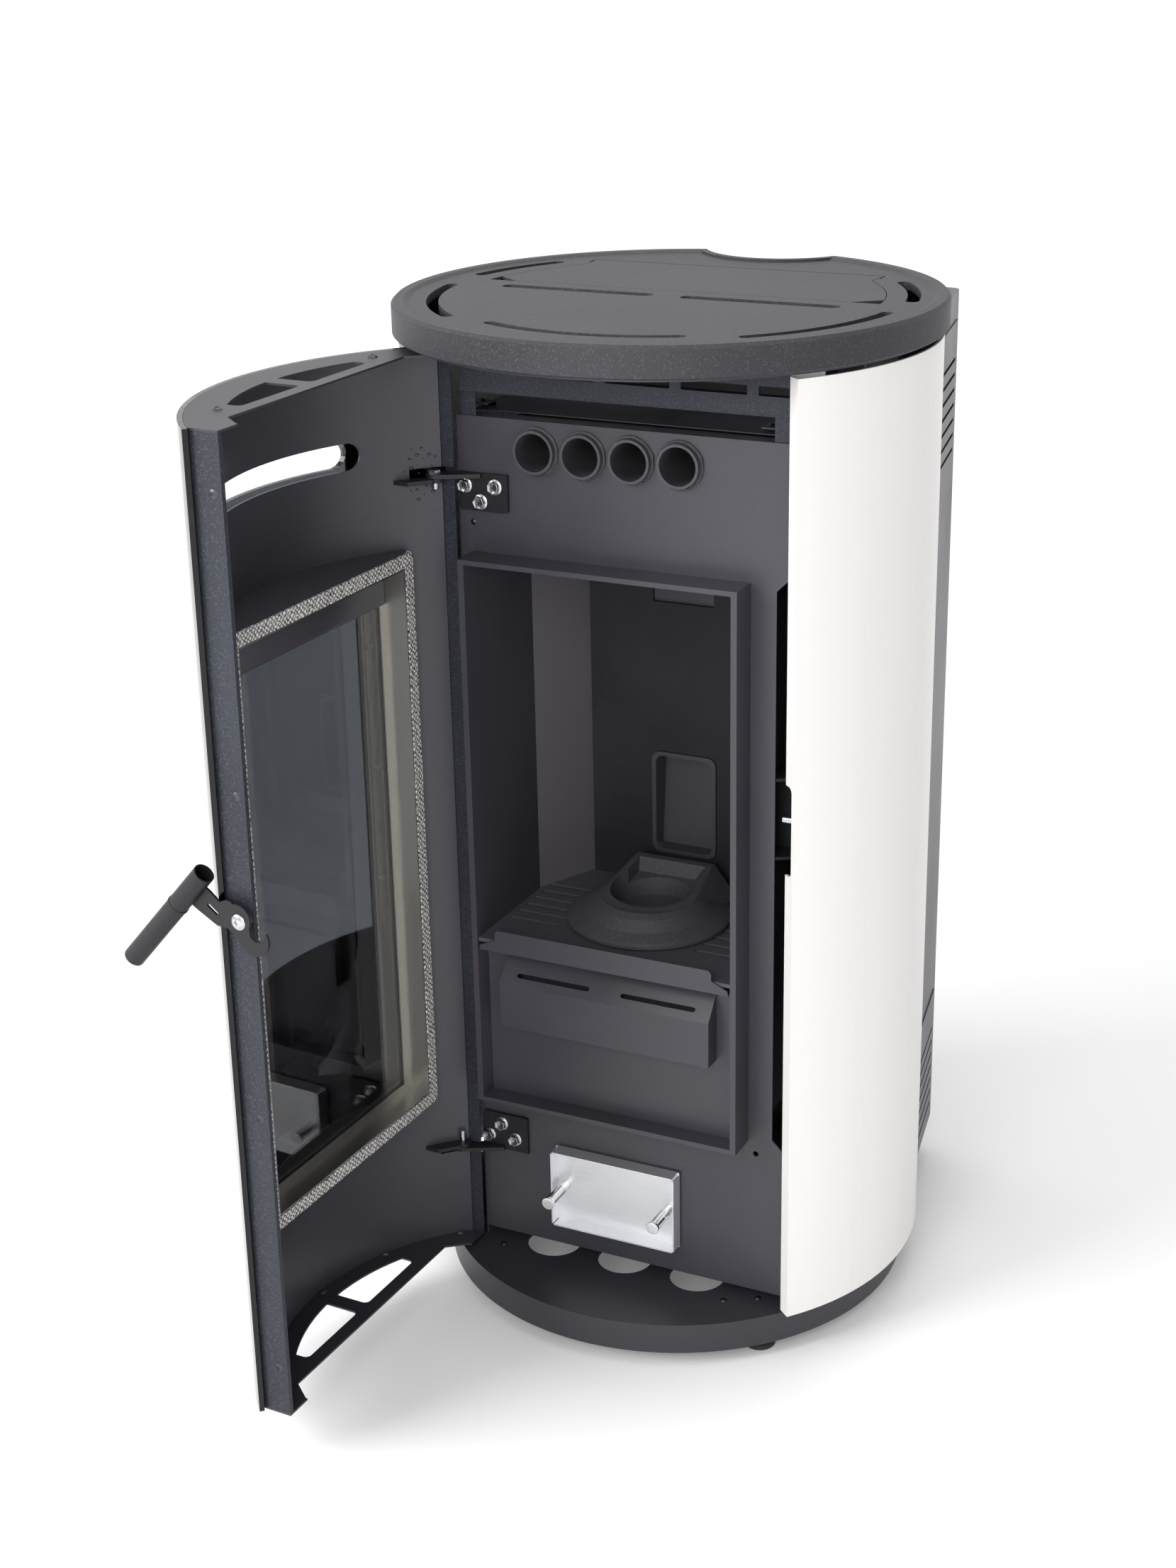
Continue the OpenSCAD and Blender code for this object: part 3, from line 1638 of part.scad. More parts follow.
strip_screw_zs = [947.9, 677.1, 359.2, 90];

module door_screws() {
  color("#8f9194")
    on_door() {
      for (z = strip_screw_zs)
        translate([door_half_w, -159.5, z])
          rotate([0, 90, 0])
            screw_head(3.4, 0.7);
      for (x = [-125, 120], z = [door_z1, door_z0])
        translate([x, -198, z])
          rotate([z == door_z0 ? 180 : 0, 0, 0])
            screw_head(4, 2);
      // pivot screw of the latch with its spacer
      rod_x(latch_y, latch_z, 9, door_half_w, latch_x - seat);
      rod_x(latch_y, latch_z, pivot_r, door_half_w, latch_x + latch_t + 1);
      rod_x(latch_y, latch_z, 7.5, latch_x + latch_t + seat, latch_x + latch_t + 2);
    }
}

module screw_head(r, h) {
  rotate_extrude($fn = 32)
    polygon([[0, 0], [r, 0], [r, h * 0.4], [r * 0.6, h], [0, h]]);
}

// The latch lever in its own plane, about its pivot: X towards the stove's back, Y up
module lever_outline() {
  hook_r = striker_r + 4;
  hook_x = latch_reach - 3.8;
  difference() {
    union() {
      translate([-2, 2.5])
        circle(lever_hub_r);
      // arm to the handle tube
      polygon([[-4, 13.5], [-6.5, 18.5], [-11.7, 19.5], [-19.5, 16], [-29, 24.5], [-37, 30],
           [-52, 10], [-47, 6], [-23.5, -7.5], [-12, -8], [-4, -8]]);
      // claw that takes hold of the striker
      difference() {
        union() {
          translate([latch_reach - 7.5, -14.5])
            circle(15.8);
          polygon([[-9, -7], [-3.8, -12.3], [0, -21], [10, -14], [8, 0]]);
        }
        translate([hook_x, -7.8])
          circle(hook_r);
        polygon([[hook_x - hook_r, -7.8], [hook_x - hook_r, 12], [45, 12], [45, -5],
             [hook_x + hook_r + 3.8, -5], [hook_x + hook_r, -7.8]]);
      }
    }
    // pivot hole, and the long hole in the arm
    circle(pivot_r + fit);
    translate([-27, 7.5])
      rotate([0, 0, -38])
        rounded_rect(-7, 7, -1.6, 1.6, 1.5);
  }
}

// The grip's axis in the closed door: its middle plane, and its lean from upright
module on_grip() {
  translate([grip_x, grip_top_y, grip_top_z])
    rotate([180 - grip_lean, 0, 0])
      children();
}

module lever_plate() {
  color("#2b2c2e")
    on_door()
      difference() {
        translate([latch_x, latch_y, latch_z])
          rotate([90, 0, 90])
            linear_extrude(latch_t)
              lever_outline();
        on_grip()
          translate([0, 0, -5])
            cylinder(h = grip_len, r = grip_r);
      }
}

module lever_grip() {
  color("#a9abad")
    on_door()
      on_grip() {
        rotate_extrude($fn = 64)
          polygon([
            [0, 25], [grip_r - 1.5, 25], [grip_r - 1.5, 0], [grip_r, 0], [grip_r, 46.5],
            [grip_r + 0.6, 47], [grip_r + 0.6, 49], [grip_r, 49.5],
            [grip_r, grip_len - 1], [grip_r - 1, grip_len], [0, grip_len]
          ]);
      }
}

// ---------------------------------------------------------------- what is drawn

base_plate();
levelling_feet();
chassis();
top_plate();
lid_hinge_pins();
vent_strip();
side_panel_left();
side_panel_right();
rear_housing();
louvre_panels();
front_plate();
firebox_body();
firebox_collar();
heat_exchanger();
heat_tubes();
back_liner();
apron_panel();
grate_plate();
front_lip();
air_deflector();
ash_box();
ash_cover_seal();
hinge_brackets();
hinge_bolts();
hinge_pins();
striker_bracket();
striker_pin();
hopper();
auger_tube();
gear_motor();
pellet_chute();
igniter();
smoke_duct();
smoke_fan_housing();
room_fan_housing();
flue_outlet();
air_intake();
power_socket();
control_box();
hopper_lid();
door_skin();
door_strips();
door_caps();
door_glass();
window_box();
glass_frame();
ceramic_glass();
rope_gasket();
door_lugs();
door_screws();
lever_plate();
lever_grip();
ash_cover();
ash_knob_left();
ash_knob_right();
burn_pot();
auger_screw();
smoke_fan_wheel();
room_fan_wheel();
power_switch();
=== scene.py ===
# %% [markdown]
# A round pellet stove, dressed for its portrait.
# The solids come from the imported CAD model, in metres, and stay exactly where they are.
# This lesson sets up the camera, gives each solid a finish built from shader nodes, models the
# few soft or fine pieces that a solid can't show, and lights them.

import math

import bmesh
import bpy
from mathutils import Matrix, Vector


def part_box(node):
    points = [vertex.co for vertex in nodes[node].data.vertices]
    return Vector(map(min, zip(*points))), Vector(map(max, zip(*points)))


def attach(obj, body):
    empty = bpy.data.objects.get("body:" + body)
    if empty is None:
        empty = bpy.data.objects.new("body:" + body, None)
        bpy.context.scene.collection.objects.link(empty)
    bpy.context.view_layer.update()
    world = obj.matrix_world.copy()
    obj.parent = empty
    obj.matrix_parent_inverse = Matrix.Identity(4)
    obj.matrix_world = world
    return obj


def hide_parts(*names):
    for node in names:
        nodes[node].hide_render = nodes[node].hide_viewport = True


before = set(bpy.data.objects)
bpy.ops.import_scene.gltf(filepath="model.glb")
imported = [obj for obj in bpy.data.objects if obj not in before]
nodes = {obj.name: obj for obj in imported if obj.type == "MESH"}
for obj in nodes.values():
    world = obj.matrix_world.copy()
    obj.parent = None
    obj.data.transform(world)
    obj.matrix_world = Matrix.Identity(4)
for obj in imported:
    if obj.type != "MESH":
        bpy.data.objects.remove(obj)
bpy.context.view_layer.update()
print("nodes:", len(nodes))

# %% [markdown]
# Operators act on whatever is selected, so a small helper clears the selection first.
# Another finishes a piece: its place goes into its mesh and its object goes back to the origin.
# The third joins several pieces into the first of them, under one name.

# %% selection helpers
quarter_turn = math.radians(90)


def clear_selection():
    if bpy.context.object and bpy.context.object.mode != "OBJECT":
        bpy.ops.object.mode_set(mode="OBJECT")
    bpy.ops.object.select_all(action="DESELECT")


def only(piece):
    clear_selection()
    piece.select_set(True)
    bpy.context.view_layer.objects.active = piece


def settle(piece):
    only(piece)
    bpy.ops.object.transform_apply(location=True, rotation=True, scale=True)
    return piece


def join_as(name, parts):
    clear_selection()
    for part in parts:
        part.select_set(True)
    bpy.context.view_layer.objects.active = parts[0]
    bpy.ops.object.join()
    parts[0].name = name
    return settle(parts[0])


print("helpers: clear_selection, only, settle, join_as")

# %% [markdown]
# The photograph was taken from the stove's front right, a little above its top.
# The camera stands at the solved place. Its three axes are written out, because the picture
# leans by about one degree and that lean is easier to keep as axes than as angles.

# %% camera
camera_place = Vector((0.9786, -2.1748, 1.4501))
look = Vector((-0.41437, 0.83607, -0.35957)).normalized()
lean = -0.0204
level_right = look.cross(Vector((0, 0, 1))).normalized()
level_up = level_right.cross(look)
right = math.cos(lean) * level_right + math.sin(lean) * level_up
up = right.cross(look)
lens = bpy.data.cameras.new("portrait_lens")
lens.sensor_fit = "VERTICAL"
lens.sensor_height = 36
lens.lens = 56.23
lens.clip_end = 100
camera = bpy.data.objects.new("portrait_camera", lens)
bpy.context.collection.objects.link(camera)
camera.matrix_world = Matrix(
    (
        (right.x, up.x, -look.x, camera_place.x),
        (right.y, up.y, -look.y, camera_place.y),
        (right.z, up.z, -look.z, camera_place.z),
        (0, 0, 0, 1),
    )
)
bpy.context.scene.camera = camera
print("camera at", [round(v, 3) for v in camera_place])

# %% [markdown]
# Node groups hold what several finishes share. Each one puts out a colour, a value or a normal
# only, and the shader itself stays in the material, so that it can be baked. A few helpers keep
# the making of nodes short.

# %% node helpers
FLOAT = "NodeSocketFloat"
COLOR = "NodeSocketColor"
VECTOR = "NodeSocketVector"


def new_group(name, inputs, outputs):
    group = bpy.data.node_groups.new(name, "ShaderNodeTree")
    for label, kind, value in inputs:
        socket = group.interface.new_socket(name=label, in_out="INPUT", socket_type=kind)
        if value is not None:
            socket.default_value = value
    for label, kind in outputs:
        group.interface.new_socket(name=label, in_out="OUTPUT", socket_type=kind)
    start = group.nodes.new("NodeGroupInput")
    end = group.nodes.new("NodeGroupOutput")
    return group, start, end


def link(tree, source, target):
    tree.links.new(source, target)


def math_node(tree, kind, a, b=None):
    node = tree.nodes.new("ShaderNodeMath")
    node.operation = kind
    for i, value in enumerate((a, b)):
        if value is None:
            continue
        if isinstance(value, (int, float)):
            node.inputs[i].default_value = value
        else:
            link(tree, value, node.inputs[i])
    return node.outputs[0]


def noise(tree, vector, scale, detail=4.0, rough=0.55):
    node = tree.nodes.new("ShaderNodeTexNoise")
    node.inputs["Detail"].default_value = detail
    node.inputs["Roughness"].default_value = rough
    if isinstance(scale, (int, float)):
        node.inputs["Scale"].default_value = scale
    else:
        link(tree, scale, node.inputs["Scale"])
    link(tree, vector, node.inputs["Vector"])
    return node.outputs["Fac"]


def ramp(tree, fac, low, high):
    node = tree.nodes.new("ShaderNodeMapRange")
    node.inputs["From Min"].default_value = low
    node.inputs["From Max"].default_value = high
    node.clamp = True
    link(tree, fac, node.inputs["Value"])
    return node.outputs["Result"]


def mix_color(tree, fac, a, b):
    node = tree.nodes.new("ShaderNodeMix")
    node.data_type = "RGBA"
    sockets = [s for s in node.inputs if s.type == "RGBA"]
    factor = [s for s in node.inputs if s.name == "Factor" and s.type == "VALUE"][0]
    link(tree, fac, factor)
    for socket, value in zip(sockets, (a, b)):
        if isinstance(value, tuple):
            socket.default_value = (*value, 1)
        else:
            link(tree, value, socket)
    return [s for s in node.outputs if s.type == "RGBA"][0]


print("node helpers ready")

# %% [markdown]
# The first group is the fine orange-peel of powder coat, or the sand grain of a casting:
# one noise for the grain and a second one, larger, for the slow unevenness under it.

# %% grain group
grain, g_in, g_out = new_group(
    "surface_grain",
    [
        ("Vector", VECTOR, None),
        ("Scale", FLOAT, 600.0),
        ("Depth", FLOAT, 0.1),
        ("Wave", FLOAT, 0.02),
    ],
    [("Normal", VECTOR)],
)
slow_share = 0.03
fine = noise(grain, g_in.outputs["Vector"], g_in.outputs["Scale"], 2.0, 0.5)
slow_scale = math_node(grain, "MULTIPLY", g_in.outputs["Scale"], slow_share)
slow = noise(grain, g_in.outputs["Vector"], slow_scale, 3.0, 0.5)
bump_slow = grain.nodes.new("ShaderNodeBump")
bump_slow.inputs["Distance"].default_value = 0.001
link(grain, slow, bump_slow.inputs["Height"])
link(grain, g_in.outputs["Wave"], bump_slow.inputs["Strength"])
bump_fine = grain.nodes.new("ShaderNodeBump")
bump_fine.inputs["Distance"].default_value = 0.0004
link(grain, fine, bump_fine.inputs["Height"])
link(grain, g_in.outputs["Depth"], bump_fine.inputs["Strength"])
link(grain, bump_slow.outputs["Normal"], bump_fine.inputs["Normal"])
link(grain, bump_fine.outputs["Normal"], g_out.inputs["Normal"])
print("group:", grain.name)

# %% [markdown]
# Paint is never one flat colour. The second group drifts a colour slowly between a darker and a
# lighter tone, and sprinkles fine flecks over it.

# %% tone group
tone, t_in, t_out = new_group(
    "tone_drift",
    [
        ("Vector", VECTOR, None),
        ("Base", COLOR, (0.1, 0.1, 0.1, 1)),
        ("Light", COLOR, (0.15, 0.15, 0.15, 1)),
        ("Fleck", COLOR, (0.2, 0.2, 0.2, 1)),
        ("Drift Scale", FLOAT, 6.0),
        ("Fleck Scale", FLOAT, 900.0),
        ("Fleck Amount", FLOAT, 0.2),
    ],
    [("Color", COLOR), ("Mask", FLOAT)],
)
clouds = noise(tone, t_in.outputs["Vector"], t_in.outputs["Drift Scale"], 3.0)
drift = ramp(tone, clouds, 0.35, 0.68)
drifted = mix_color(tone, drift, t_in.outputs["Base"], t_in.outputs["Light"])
dots = noise(tone, t_in.outputs["Vector"], t_in.outputs["Fleck Scale"], 1.0)
flecks = ramp(tone, dots, 0.56, 0.7)
fleck_share = math_node(tone, "MULTIPLY", flecks, t_in.outputs["Fleck Amount"])
link(tone, mix_color(tone, fleck_share, drifted, t_in.outputs["Fleck"]), t_out.inputs["Color"])
link(tone, drift, t_out.inputs["Mask"])
print("group:", tone.name)

# %% [markdown]
# Rolled and brushed steel shows fine parallel lines. The third group stretches a noise along one
# axis, which is chosen by how the vector is scaled in the material.

# %% brush group
brush, b_in, b_out = new_group(
    "brushed_lines",
    [("Vector", VECTOR, None), ("Depth", FLOAT, 0.15), ("Low", FLOAT, 0.25), ("High", FLOAT, 0.4)],
    [("Roughness", FLOAT), ("Normal", VECTOR), ("Mask", FLOAT)],
)
lines = noise(brush, b_in.outputs["Vector"], 1.0, 3.0, 0.6)
spread = math_node(brush, "SUBTRACT", b_in.outputs["High"], b_in.outputs["Low"])
scaled = math_node(brush, "MULTIPLY", spread, lines)
link(brush, math_node(brush, "ADD", scaled, b_in.outputs["Low"]), b_out.inputs["Roughness"])
line_bump = brush.nodes.new("ShaderNodeBump")
line_bump.inputs["Distance"].default_value = 0.0002
link(brush, lines, line_bump.inputs["Height"])
link(brush, b_in.outputs["Depth"], line_bump.inputs["Strength"])
link(brush, line_bump.outputs["Normal"], b_out.inputs["Normal"])
link(brush, lines, b_out.inputs["Mask"])
print("group:", brush.name)

# %% [markdown]
# A material starts from one helper: a fresh tree with a Principled shader and the object's own
# coordinates, optionally stretched so that a pattern runs one way. From it come two kinds of
# finish, paint and bare steel. A mask can later be laid over the colour of either.

# %% material helpers
def new_material(name, roughness=0.5, metallic=0.0):
    material = bpy.data.materials.new(name)
    material.use_nodes = True
    tree = material.node_tree
    shader = tree.nodes["Principled BSDF"]
    shader.inputs["Roughness"].default_value = roughness
    shader.inputs["Metallic"].default_value = metallic
    place = tree.nodes.new("ShaderNodeTexCoord")
    return material, tree, shader, place.outputs["Object"]


def stretched(tree, vector, scale):
    node = tree.nodes.new("ShaderNodeMapping")
    node.inputs["Scale"].default_value = scale
    link(tree, vector, node.inputs["Vector"])
    return node.outputs["Vector"]


def place_group(tree, group, vector, **values):
    node = tree.nodes.new("ShaderNodeGroup")
    node.node_tree = group
    link(tree, vector, node.inputs["Vector"])
    for label, value in values.items():
        socket = node.inputs[label.replace("_", " ")]
        socket.default_value = (*value, 1) if isinstance(value, tuple) else value
    return node


def painted(name, base, light, fleck, rough, depth, scale=700.0, fleck_amount=0.25, wave=0.02,
            drift=5.0, fleck_scale=900.0, streak=(1, 1, 1)):
    material, tree, shader, spot = new_material(name, rough)
    tones = place_group(tree, tone, stretched(tree, spot, streak), Base=base, Light=light,
                        Fleck=fleck, Fleck_Amount=fleck_amount, Drift_Scale=drift,
                        Fleck_Scale=fleck_scale)
    grains = place_group(tree, grain, spot, Scale=scale, Depth=depth, Wave=wave)
    link(tree, tones.outputs["Color"], shader.inputs["Base Color"])
    link(tree, grains.outputs["Normal"], shader.inputs["Normal"])
    spread = 0.08
    varied = math_node(tree, "MULTIPLY", tones.outputs["Mask"], spread)
    link(tree, math_node(tree, "ADD", varied, rough - spread / 2), shader.inputs["Roughness"])
    return material


def steel(name, color, low, high, stretch, depth):
    material, tree, shader, spot = new_material(name, low, 1.0)
    lines_here = place_group(tree, brush, stretched(tree, spot, stretch), Depth=depth, Low=low,
                             High=high)
    darker = tuple(c * 0.82 for c in color)
    link(tree, mix_color(tree, lines_here.outputs["Mask"], darker, color),
         shader.inputs["Base Color"])
    link(tree, lines_here.outputs["Roughness"], shader.inputs["Roughness"])
    link(tree, lines_here.outputs["Normal"], shader.inputs["Normal"])
    return material


def object_spot(tree):
    return [n for n in tree.nodes if n.type == "TEX_COORD"][0].outputs["Object"]


def recolor(tree, mask, outside, inside):
    """Mixes two colours by a mask. None stands for the colour that the shader has now."""
    base = tree.nodes["Principled BSDF"].inputs["Base Color"]
    now = base.links[0].from_socket
    link(tree, mix_color(tree, mask, outside or now, inside or now), base)


print("material helpers ready")

# %% [markdown]
# The finishes. Most of the stove is sheet steel under dark satin powder coat. The casting on top
# is greyer and sandy. The curved side panels are warm white enamel. The strips along the door's
# edges and above the firebox have a bluish speckled coat.

# %% painted finishes
grey_sheet = painted("grey_powder_coat", (0.042, 0.040, 0.050), (0.050, 0.047, 0.058),
                     (0.075, 0.072, 0.082), 0.40, 0.10)
dark_sheet = painted("dark_powder_coat", (0.026, 0.025, 0.032), (0.032, 0.031, 0.039),
                     (0.050, 0.048, 0.058), 0.45, 0.12)
blue_sheet = painted("speckled_blue_coat", (0.019, 0.021, 0.029), (0.027, 0.030, 0.041),
                     (0.10, 0.11, 0.13), 0.50, 0.18, fleck_amount=0.4, fleck_scale=620.0)
white_panel = painted("white_enamel", (0.905, 0.88, 0.855), (0.925, 0.905, 0.885),
                      (0.93, 0.92, 0.90), 0.30, 0.02, fleck_amount=0.05, wave=0.05, drift=26.0,
                      streak=(1, 1, 0.02))
cast_top = painted("cast_iron_top", (0.029, 0.0275, 0.033), (0.041, 0.039, 0.046),
                   (0.11, 0.107, 0.115), 0.55, 0.9, scale=380.0, fleck_amount=0.42,
                   fleck_scale=520.0)
cast_dark = painted("cast_iron_pot", (0.057, 0.055, 0.065), (0.077, 0.074, 0.086),
                    (0.12, 0.118, 0.126), 0.52, 0.8, scale=380.0, fleck_amount=0.5,
                    fleck_scale=450.0)
fire_steel = painted("firebox_steel", (0.041, 0.039, 0.048), (0.053, 0.051, 0.060),
                     (0.07, 0.068, 0.076), 0.42, 0.15)
# The back liner is coloured far darker than the walls: painted shade for the deep back of the
# firebox.
painted_shade_liner = painted("liner_painted_shade", (0.013, 0.012, 0.016), (0.020, 0.019, 0.024),
                      (0.04, 0.038, 0.044), 0.55, 0.15, drift=9.0)
wall_steel = painted("firebox_wall_painted_light", (0.041, 0.039, 0.048), (0.053, 0.051, 0.060),
                     (0.07, 0.068, 0.076), 0.42, 0.15)
black_steel = painted("black_steel", (0.010, 0.010, 0.012), (0.015, 0.015, 0.017),
                      (0.04, 0.04, 0.042), 0.45, 0.15)
tube_steel = painted("tube_steel", (0.045, 0.045, 0.050), (0.060, 0.060, 0.066),
                     (0.09, 0.09, 0.095), 0.45, 0.2)
motor_paint = painted("motor_paint", (0.05, 0.05, 0.055), (0.06, 0.06, 0.066),
                      (0.1, 0.1, 0.1), 0.4, 0.2)
rubber = painted("rubber_foot", (0.012, 0.012, 0.013), (0.018, 0.018, 0.019),
                 (0.03, 0.03, 0.03), 0.7, 0.3)
black_plastic = painted("black_plastic", (0.012, 0.012, 0.013), (0.017, 0.017, 0.018),
                        (0.03, 0.03, 0.03), 0.38, 0.12)
fibre = painted("seal_fibre", (0.26, 0.26, 0.25), (0.34, 0.34, 0.33), (0.5, 0.5, 0.48), 0.9, 0.8,
                scale=900.0, fleck_amount=0.6)
ceramic = painted("igniter_ceramic", (0.62, 0.60, 0.55), (0.72, 0.70, 0.65), (0.8, 0.78, 0.74),
                  0.7, 0.2)
grip_coat = painted("grip_coat", (0.010, 0.010, 0.012), (0.014, 0.014, 0.016),
                    (0.04, 0.04, 0.044), 0.42, 0.10)
print("painted finishes:", len(bpy.data.materials))

# %% [markdown]
# Some coats are duller than the rest. In the firebox the slanted left wall is coloured lighter
# than the others: painted light, standing in for the lamp light that the open door keeps off it.

# %% dull coats and the wall with painted light
dull = 0.3
painted_light_x = -0.1
painted_light_y = -0.0385
for coat in (blue_sheet, cast_top, black_steel, grip_coat, painted_shade_liner):
    coat.node_tree.nodes["Principled BSDF"].inputs["Specular IOR Level"].default_value = dull
wall_tree = wall_steel.node_tree
wall_spot = wall_tree.nodes.new("ShaderNodeSeparateXYZ")
link(wall_tree, object_spot(wall_tree), wall_spot.inputs["Vector"])
# The mask marks the slanted left wall; its lighter colour below is painted light.
left_part = math_node(wall_tree, "LESS_THAN", wall_spot.outputs["X"], painted_light_x)
deep_part = math_node(wall_tree, "GREATER_THAN", wall_spot.outputs["Y"], painted_light_y)
painted_light = math_node(wall_tree, "MULTIPLY", left_part, deep_part)
recolor(wall_tree, painted_light, None, (0.125, 0.118, 0.128))
print("clean wall left of x", painted_light_x)

# %% [markdown]
# Bare metals: zinc on the bolts and knobs, brushed steel round the ceramic glass, and galvanised
# sheet, whose crystals make faint patches of light and dark.

# %% bare metals
zinc = steel("zinc_plate", (0.50, 0.51, 0.54), 0.16, 0.32, (260, 260, 260), 0.25)
bright_steel = steel("brushed_frame", (0.66, 0.65, 0.63), 0.28, 0.45, (900, 900, 30), 0.2)
frame_steel = steel("tarnished_frame", (0.46, 0.45, 0.42), 0.28, 0.42, (500, 500, 12), 0.12)
cover_steel = steel("satin_cover", (0.90, 0.91, 0.93), 0.46, 0.60, (40, 900, 900), 0.10)
fan_alloy = steel("cast_alloy", (0.42, 0.42, 0.43), 0.45, 0.6, (200, 200, 200), 0.4)

galvanised, gal_tree, gal_shader, gal_spot = new_material("galvanised_sheet", 0.35, 1.0)
crystals = gal_tree.nodes.new("ShaderNodeTexVoronoi")
crystals.inputs["Scale"].default_value = 90
link(gal_tree, gal_spot, crystals.inputs["Vector"])
patch = gal_tree.nodes.new("ShaderNodeSeparateColor")
link(gal_tree, crystals.outputs["Color"], patch.inputs["Color"])
rolled = place_group(gal_tree, brush, stretched(gal_tree, gal_spot, (700, 700, 14)), Depth=0.10,
                     Low=0.16, High=0.30)
grown = math_node(gal_tree, "MULTIPLY", patch.outputs["Red"], 0.25)
brushed = math_node(gal_tree, "MULTIPLY", rolled.outputs["Mask"], 0.75)
bright = math_node(gal_tree, "ADD", grown, brushed)
link(gal_tree, mix_color(gal_tree, bright, (0.80, 0.81, 0.83), (0.93, 0.935, 0.95)),
     gal_shader.inputs["Base Color"])
link(gal_tree, rolled.outputs["Roughness"], gal_shader.inputs["Roughness"])
link(gal_tree, rolled.outputs["Normal"], gal_shader.inputs["Normal"])
print("bare metals: zinc, brushed and tarnished steel, satin cover, alloy, galvanised sheet")

# %% [markdown]
# Two panes: the outer one is dark tinted glass that curves with the casing, and the inner one is
# thin ceramic glass. Both are solid pieces, so light is tinted where it enters and leaves.

# %% glass
def pane(name, color):
    material, tree, shader, spot = new_material(name, 0.0)
    shader.inputs["Transmission Weight"].default_value = 1.0
    shader.inputs["IOR"].default_value = 1.45
    smear = ramp(tree, noise(tree, spot, 9.0, 3.0), 0.3, 0.75)
    link(tree, mix_color(tree, smear, color, tuple(c * 0.93 for c in color)),
         shader.inputs["Base Color"])
    link(tree, math_node(tree, "MULTIPLY", smear, 0.012), shader.inputs["Roughness"])
    return material


clear_glass = pane("ceramic_glass", (0.80, 0.80, 0.80))
print("inner pane:", clear_glass.name)

# %% [markdown]
# The outer pane is tinted, and printed black on its back all round a see-through field, which
# starts at the height of the grate. The print is a mask on the pane's own coordinates: they are
# turned back to the closed door, where the field lies between two angles and above one height.

# %% printed pane
hinge = Vector((-0.175, -0.166, 0))
swing = math.radians(-92)
field_angle = math.radians(27.5)
grate_z = 0.414
dark_glass = pane("tinted_glass", (0.082, 0.091, 0.102))
dark_tree = dark_glass.node_tree
to_closed = dark_tree.nodes.new("ShaderNodeMapping")
to_closed.inputs["Rotation"].default_value = (0, 0, -swing)
to_closed.inputs["Location"].default_value = hinge - Matrix.Rotation(-swing, 3, "Z") @ hinge
link(dark_tree, object_spot(dark_tree), to_closed.inputs["Vector"])
closed = dark_tree.nodes.new("ShaderNodeSeparateXYZ")
link(dark_tree, to_closed.outputs["Vector"], closed.inputs["Vector"])
forward = math_node(dark_tree, "MULTIPLY", closed.outputs["Y"], -1.0)
turned = math_node(dark_tree, "ARCTAN2", closed.outputs["X"], forward)
aside = math_node(dark_tree, "ABSOLUTE", turned)
within = math_node(dark_tree, "LESS_THAN", aside, field_angle)
above = math_node(dark_tree, "GREATER_THAN", closed.outputs["Z"], grate_z)
field = math_node(dark_tree, "MULTIPLY", within, above)
recolor(dark_tree, field, (0.0004, 0.0004, 0.0005), None)
print("outer pane:", dark_glass.name, "clear above z", grate_z)

# %% [markdown]
# Each solid gets its finish through its material slots. Its mesh stays as it is.

# %% dress the solids
finish_of = {
    grey_sheet: "rear_housing louvre_panels front_plate firebox_collar apron_panel front_lip "
                "air_deflector smoke_duct door_skin window_box",
    dark_sheet: "base_plate chassis door_caps room_fan_wheel",
    blue_sheet: "vent_strip door_strips",
    white_panel: "side_panel_left side_panel_right",
    cast_top: "top_plate hopper_lid",
    cast_dark: "burn_pot grate_plate",
    fire_steel: "heat_exchanger ash_box pellet_chute",
    wall_steel: "firebox_body",
    painted_shade_liner: "back_liner",
    cover_steel: "ash_cover",
    tube_steel: "heat_tubes",
    black_steel: "hinge_brackets striker_bracket flue_outlet air_intake door_lugs lever_plate",
    zinc: "lid_hinge_pins hinge_bolts hinge_pins striker_pin door_screws ash_knob_left "
          "ash_knob_right",
    bright_steel: "auger_screw smoke_fan_wheel",
    frame_steel: "glass_frame",
    galvanised: "hopper auger_tube room_fan_housing",
    fan_alloy: "smoke_fan_housing",
    motor_paint: "gear_motor",
    fibre: "ash_cover_seal rope_gasket",
    rubber: "levelling_feet",
    ceramic: "igniter",
    black_plastic: "power_socket control_box power_switch",
    dark_glass: "door_glass",
    clear_glass: "ceramic_glass",
    grip_coat: "lever_grip",
}
dressed = 0
for material, names in finish_of.items():
    for name in names.split():
        slots = nodes[name].data.materials
        for i in range(len(slots)):
            slots[i] = material
        if not len(slots):
            slots.append(material)
        dressed += 1
print("dressed", dressed, "of", len(nodes))

# %% [markdown]
# What rides on the door is drawn in the closed door's place and then swung open about the
# hinge, like the solids. The other helpers pick parts of a mesh in edit mode, apply modifiers
# and smooth the shading.

# %% swing and edit helpers
swung_open = (
    Matrix.Translation(hinge) @ Matrix.Rotation(swing, 4, "Z") @ Matrix.Translation(-hinge)
)


def swing_open(piece):
    piece.matrix_world = swung_open @ piece.matrix_world
    return settle(piece)


def pick(piece, test, kind="FACE"):
    """Selects faces, edges or vertices for which the test holds, in edit mode."""
    only(piece)
    bpy.ops.object.mode_set(mode="EDIT")
    bpy.ops.mesh.select_mode(type=kind)
    bpy.ops.mesh.select_all(action="DESELECT")
    mesh = bmesh.from_edit_mesh(piece.data)
    parts = {"FACE": mesh.faces, "EDGE": mesh.edges, "VERT": mesh.verts}[kind]
    for part in parts:
        if test(part):
            part.select = True
    mesh.select_flush_mode()
    bmesh.update_edit_mesh(piece.data)


def leave_edit():
    bpy.ops.object.mode_set(mode="OBJECT")


def apply_modifiers(piece):
    only(piece)
    for modifier in list(piece.modifiers):
        bpy.ops.object.modifier_apply(modifier=modifier.name)


